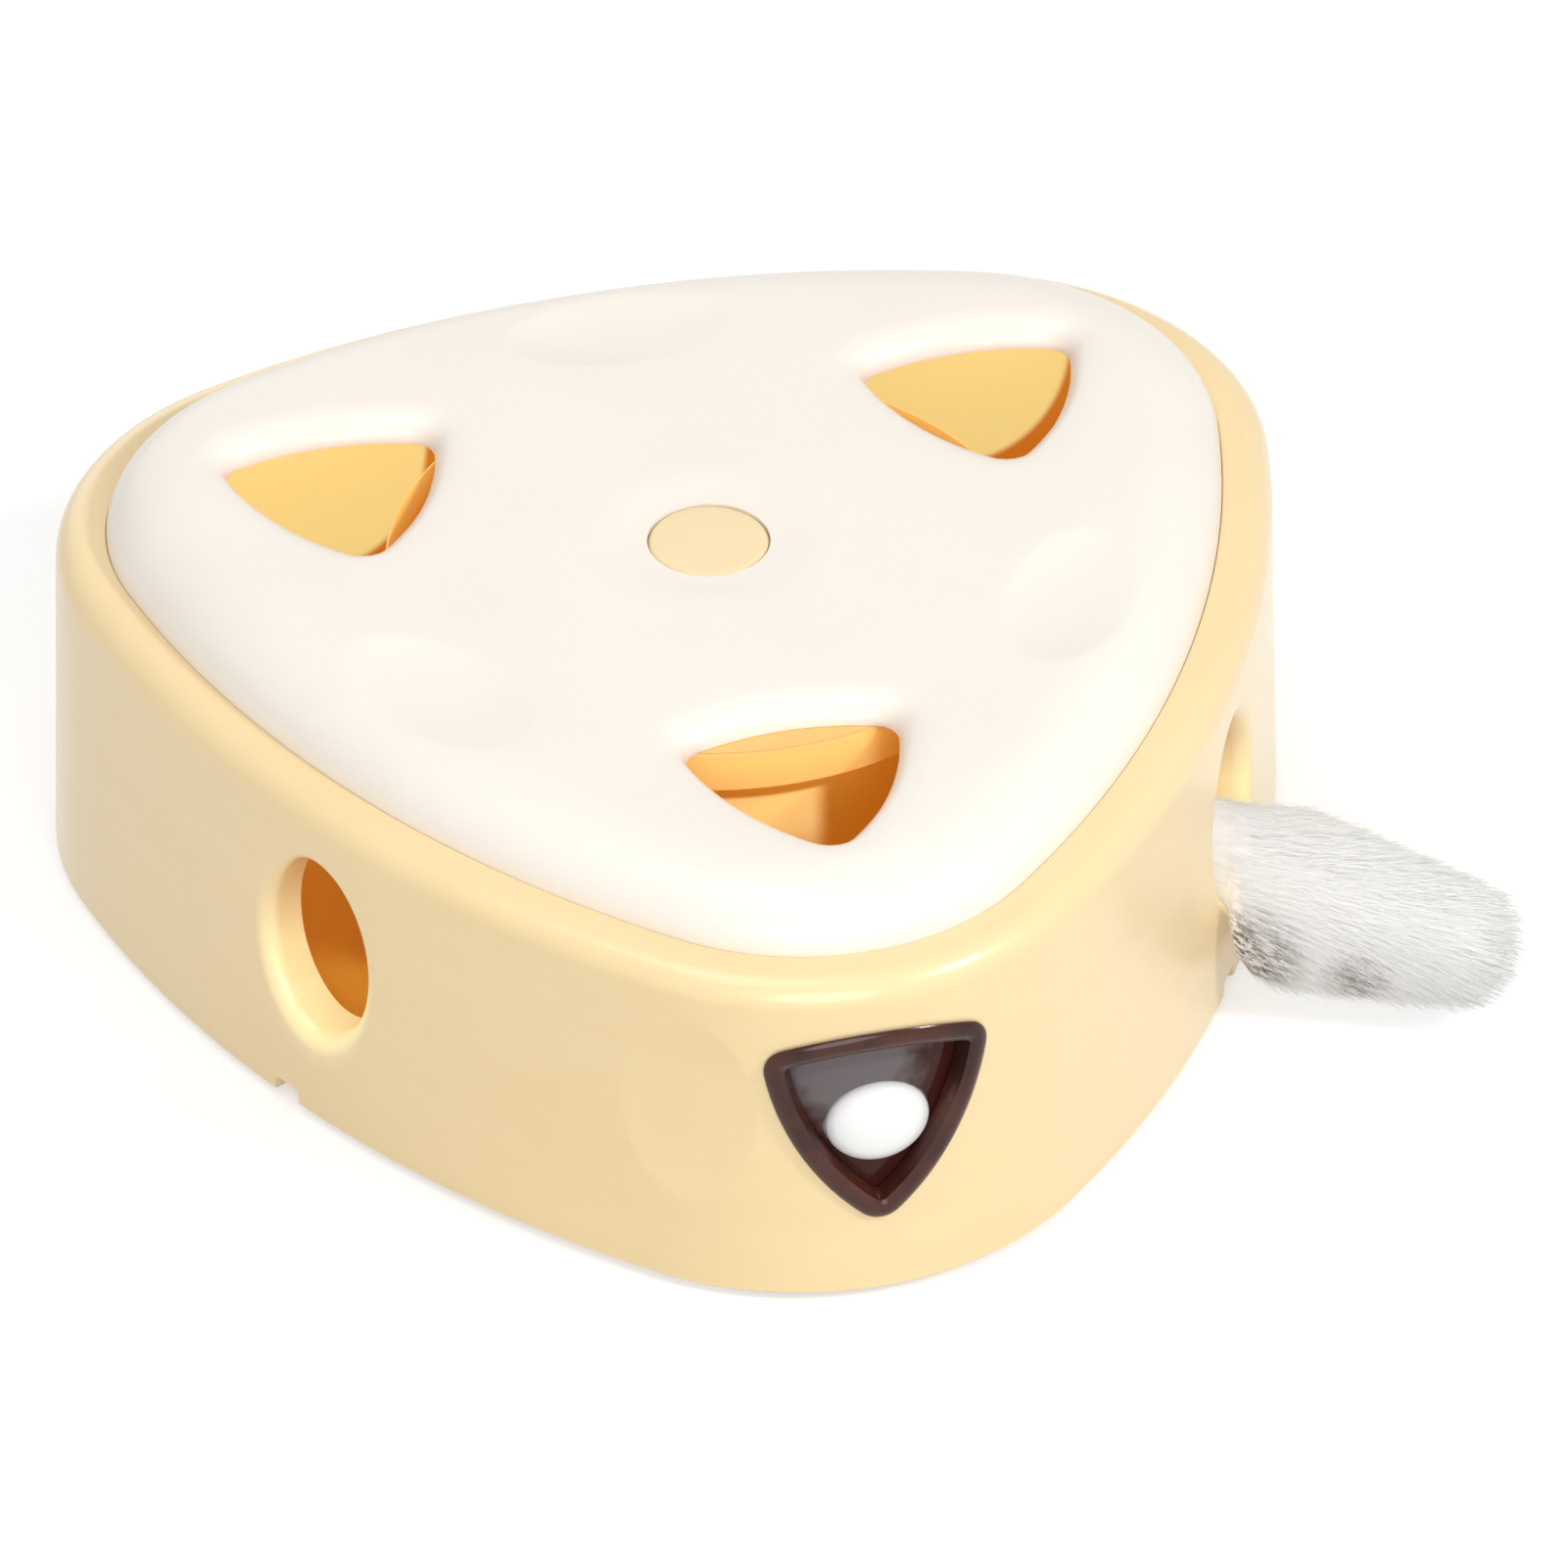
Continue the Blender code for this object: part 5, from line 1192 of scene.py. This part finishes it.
# Pod: its deeper orange is painted shade; its front glows as painted light, with painted shadow
# towards +X.
pod_painted_light_and_shade = plastic("pod_painted_light_and_shade", (0.950, 0.600, 0.170), (0.935, 0.575, 0.150), 0.38,
                     painted_glow=(1.0, 0.62, 0.20), painted_glow_strength=0.40, shade=(0.50, 0.16, 0.01),
                     lit=spans(("Y", -0.040, -0.046), ("X", 0.0170, 0.0125)))
# Sill: glows as painted light below its top edge, with painted shadow at that edge and towards +X.
sill_painted_light_and_shade = plastic("sill_painted_light_and_shade", (0.930, 0.580, 0.200), (0.915, 0.560, 0.190), 0.55,
                      painted_glow=(1.0, 0.62, 0.20), painted_glow_strength=0.40,
                      lit=spans(("Z", 0.06826, 0.0680), ("X", 0.0170, 0.0125)))
# The base plate: a darker, more orange copy of the yellow as painted shade.
floor_painted_shade = plastic("floor_painted_shade", (0.880, 0.530, 0.060), (0.865, 0.510, 0.050), 0.50)
cover_white = plastic("cover_white", (0.965, 0.908, 0.835), (0.95, 0.888, 0.808), 0.34, coat=0.15)
button_yellow = plastic("button_yellow", (0.955, 0.775, 0.475), (0.94, 0.755, 0.450), 0.34)
frame_brown = plastic("frame_brown", (0.080, 0.022, 0.013), (0.030, 0.008, 0.006), 0.13,
                      grain_depth=0.000001, patch_size=0.010, **{"Specular IOR Level": 0.36})
milky_white = plastic("milky_white", (0.955, 0.955, 0.955), (0.93, 0.93, 0.93), 0.22)
rubber_black = plastic("rubber_black", (0.045, 0.045, 0.045), (0.03, 0.03, 0.03), 0.75,
                       grain_size=0.0003, grain_depth=0.00002)
nylon_white = plastic("nylon_white", (0.80, 0.80, 0.76), (0.74, 0.74, 0.70), 0.45)
board_green = plastic("board_green", (0.03, 0.20, 0.08), (0.015, 0.13, 0.05), 0.4,
                      grain_size=0.0012, grain_depth=0.00001)
cell_wrap = plastic("cell_wrap", (0.06, 0.14, 0.42), (0.04, 0.10, 0.34), 0.3)
steel, brass = (plastic(name, light, dark, gloss, grain_size=0.0003, grain_depth=0.000002,
                        Metallic=1.0)
                for name, light, dark, gloss in (
                    ("steel", (0.62, 0.62, 0.63), (0.50, 0.50, 0.52), 0.28),
                    ("brass", (0.76, 0.57, 0.28), (0.66, 0.47, 0.20), 0.30)))


# %% Smoked window plate, with a painted reflection
def smoked_plate(painted_reflection_spot=(-0.004, -0.109, 0.0455)):
    """A painted grey reflection round a spot at the upper left, giving way to deep red-brown
    towards the lower and right edges.
    """
    look, graph, surface = new_surface("smoked_window")
    grain = place_group(graph, mould_grain, grain_size=0.0007, patch_size=0.005)
    distance = graph.vector_math("DISTANCE", graph.object_place(), painted_reflection_spot)
    waver = graph.math("MULTIPLY_ADD", grain.outputs["Patch"], 0.010, distance)
    colour = blend_colour(graph, waver, (0.160, 0.137, 0.141), (0.048, 0.010, 0.007),
                          (0.0135, 0.0185))
    moulded_skin(graph, surface, grain, colour, 0.05, 0.12, 0.0000004)
    graph.feed(surface, {"Specular IOR Level": 0.20})
    return look


smoked_window = smoked_plate()

# %% [markdown]
# Fur is white with a warm grey shadow between the hairs, and glows with its own colour as painted
# light. Two patches of dark brown streaks show low on the side of the tail, near its root and under
# its middle. Each hair also has a tone of its own, kept as an attribute by the tree that grew it.

# %% Fur
# Two patches, low on the side and under the middle of the tail, where the fur turns dark brown in
# streaks.
dark_streak_patches = [(tail_centre(0.0978) - tail_side * 0.0120 - upright * 0.0035, 0.0108, 1.0),
                 (tail_centre(0.1150) - tail_side * 0.0098 - upright * 0.0050, 0.0078, 0.8)]
streak_size, patch_core, tail_tilt = (0.007, 0.0009, 0.0009), 0.30, math.radians(10.0)
fur_low, fur_high, dark_streak_brown = (0.70, 0.69, 0.67), (0.75, 0.745, 0.735), (0.10, 0.065, 0.045)


def fur_material(name, by_hair):
    look, graph, surface = new_surface(name)
    place = graph.object_place()
    along = graph.add("ShaderNodeMapping", vector_type="TEXTURE")
    graph.feed(along, {"Vector": place, "Scale": streak_size,
                       "Rotation": (0.0, tail_tilt, math.radians(tail_heading))})
    streak = graph.add("ShaderNodeTexNoise", {"Vector": along, "Scale": 1.0, "Detail": 3.0})
    streak = streak.outputs["Fac"]
    if by_hair:
        white = blend_colour(graph, graph.attribute("hair_tone"), fur_low, fur_high, (0.0, 0.5))
    else:
        white = blend_colour(graph, streak, fur_low, fur_high)
        bump = graph.add("ShaderNodeBump", {"Distance": 0.0005, "Height": streak})
        graph.feed(surface, {"Normal": bump})
    patches = [graph.remap(graph.vector_math("DISTANCE", place, tuple(spot)),
                           size, size * patch_core, 0.0, most)
               for spot, size, most in dark_streak_patches]
    brown = graph.math("MULTIPLY", graph.math("MAXIMUM", *patches), graph.remap(streak, 0.46, 0.53))
    colour = graph.mix(brown, white, dark_streak_brown)
    # Painted light: the fur glows with its own colour, so that it stays white in the shade.
    graph.feed(surface, {"Base Color": colour, "Roughness": 0.75, "Sheen Weight": 0.3,
                         "Emission Color": colour, "Emission Strength": 0.37})
    return look


fur_white, fur_core = fur_material("fur_white", True), fur_material("fur_core", False)
print("materials", len(bpy.data.materials))

# %% [markdown]
# Now the pieces take their places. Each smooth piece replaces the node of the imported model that
# it stands for, and rides on the body that carries that node. The other nodes keep their own
# meshes: gears, boards, screws, cells and posts, with a finish for each material slot.

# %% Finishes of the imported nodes
finishes = {
    "yellow_plastic": shell_yellow, "white_plastic": cover_white, "inner_plastic": pod_painted_light_and_shade,
    "dark_plastic": frame_brown, "tinted_glass": smoked_window, "milky_plastic": milky_white,
    "rubber": rubber_black, "steel": steel, "brass": brass, "nylon": nylon_white,
    "circuit_board": board_green, "battery_wrap": cell_wrap, "white_fur": fur_core,
}
# The base plate takes the painted-shade yellow.
painted_shade_nodes = {"base_plate": floor_painted_shade}
slot_of = {row["node"]: row["material_slot"] for row in frame["record"]["subparts"]}
for node, piece in frame["nodes"].items():
    for slot in piece.material_slots:
        slot.material = painted_shade_nodes.get(node, finishes[slot_of[node]])
print("slots", sorted(set(slot_of.values())))


# %% Inner faces and painted-light bores of the shell
def faces_the_axis(middle, normal):
    """Inner wall faces, not the rim above the ledge and not the bores of the holes."""
    outward = middle[:, :2] / np.linalg.norm(middle[:, :2], axis=1)[:, None]
    return (np.sum(outward * normal[:, :2], axis=1) < -0.6) & (middle[:, 2] < ledge_under)


def note_painted_bore_light(mesh):
    """Keep, for every point, how much painted light the lower lips and bores of the holes get."""
    points = np.empty(len(mesh.vertices) * 3)
    mesh.vertices.foreach_get("co", points)
    points = points.reshape(-1, 3)
    above, light = points[:, 2] - hole_middle, np.zeros(len(points))
    for heading in hole_headings:
        forth, left = seen_from(points[:, :2], heading, 0.0)
        share = np.hypot(left / hole_half_width, above / hole_half_height)
        light = np.maximum(light, (forth > 0) * soft_step((1.26 - share) / 0.24))
    light *= soft_step((0.009 - above) / 0.018)
    mesh.attributes.new("painted_bore_light", "FLOAT", "POINT").data.foreach_set(
        "value", light.astype(np.float32))


# %% Make the pieces
shell = make_piece("shell_smooth", build_shell(), shell_yellow,
                   inside=(inside_painted_light_and_shade, faces_the_axis))
note_painted_bore_light(shell.data)
cover = make_piece("cover_smooth", build_cover(), cover_white)
drum = turned("drum_smooth", drum_section(), drum_painted_light_and_shade)
pod = turned("pod_smooth", pod_section(), pod_painted_light_and_shade)
sill = build_pod_sill(sill_painted_light_and_shade)
button = turned("button_smooth", button_section(), button_yellow, closed=False)
bezel, plate, dome = build_bezel(frame_brown), build_plate(smoked_window), build_dome(milky_white)
core, fur = build_tail_core(fur_core), fur_tree()
coats = [grow_fur("fur_under", core, fur, fur_white, 3, 2.2e6, 0.28),
         grow_fur("fur_over", core, fur, fur_white, 8, 2.2e6, 0.38)]

# %% Put them in place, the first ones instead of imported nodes
for piece, body, node in ((shell, "housing", "body_shell"), (cover, "housing", "top_cover"),
                          (drum, "rotor", "rotor_drum"), (pod, "housing", "electronics_pod"),
                          (button, "button", "power_button"), (bezel, "housing", "window_bezel"),
                          (plate, "housing", "window_lens"), (dome, "housing", "sensor_dome"),
                          (core, "rotor", "fur_tail")):
    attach(piece, body)
    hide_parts(node)
for piece, body, node in ((sill, "housing", "electronics_pod"), (coats[0], "rotor", "fur_tail"),
                          (coats[1], "rotor", "fur_tail")):
    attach(piece, body)
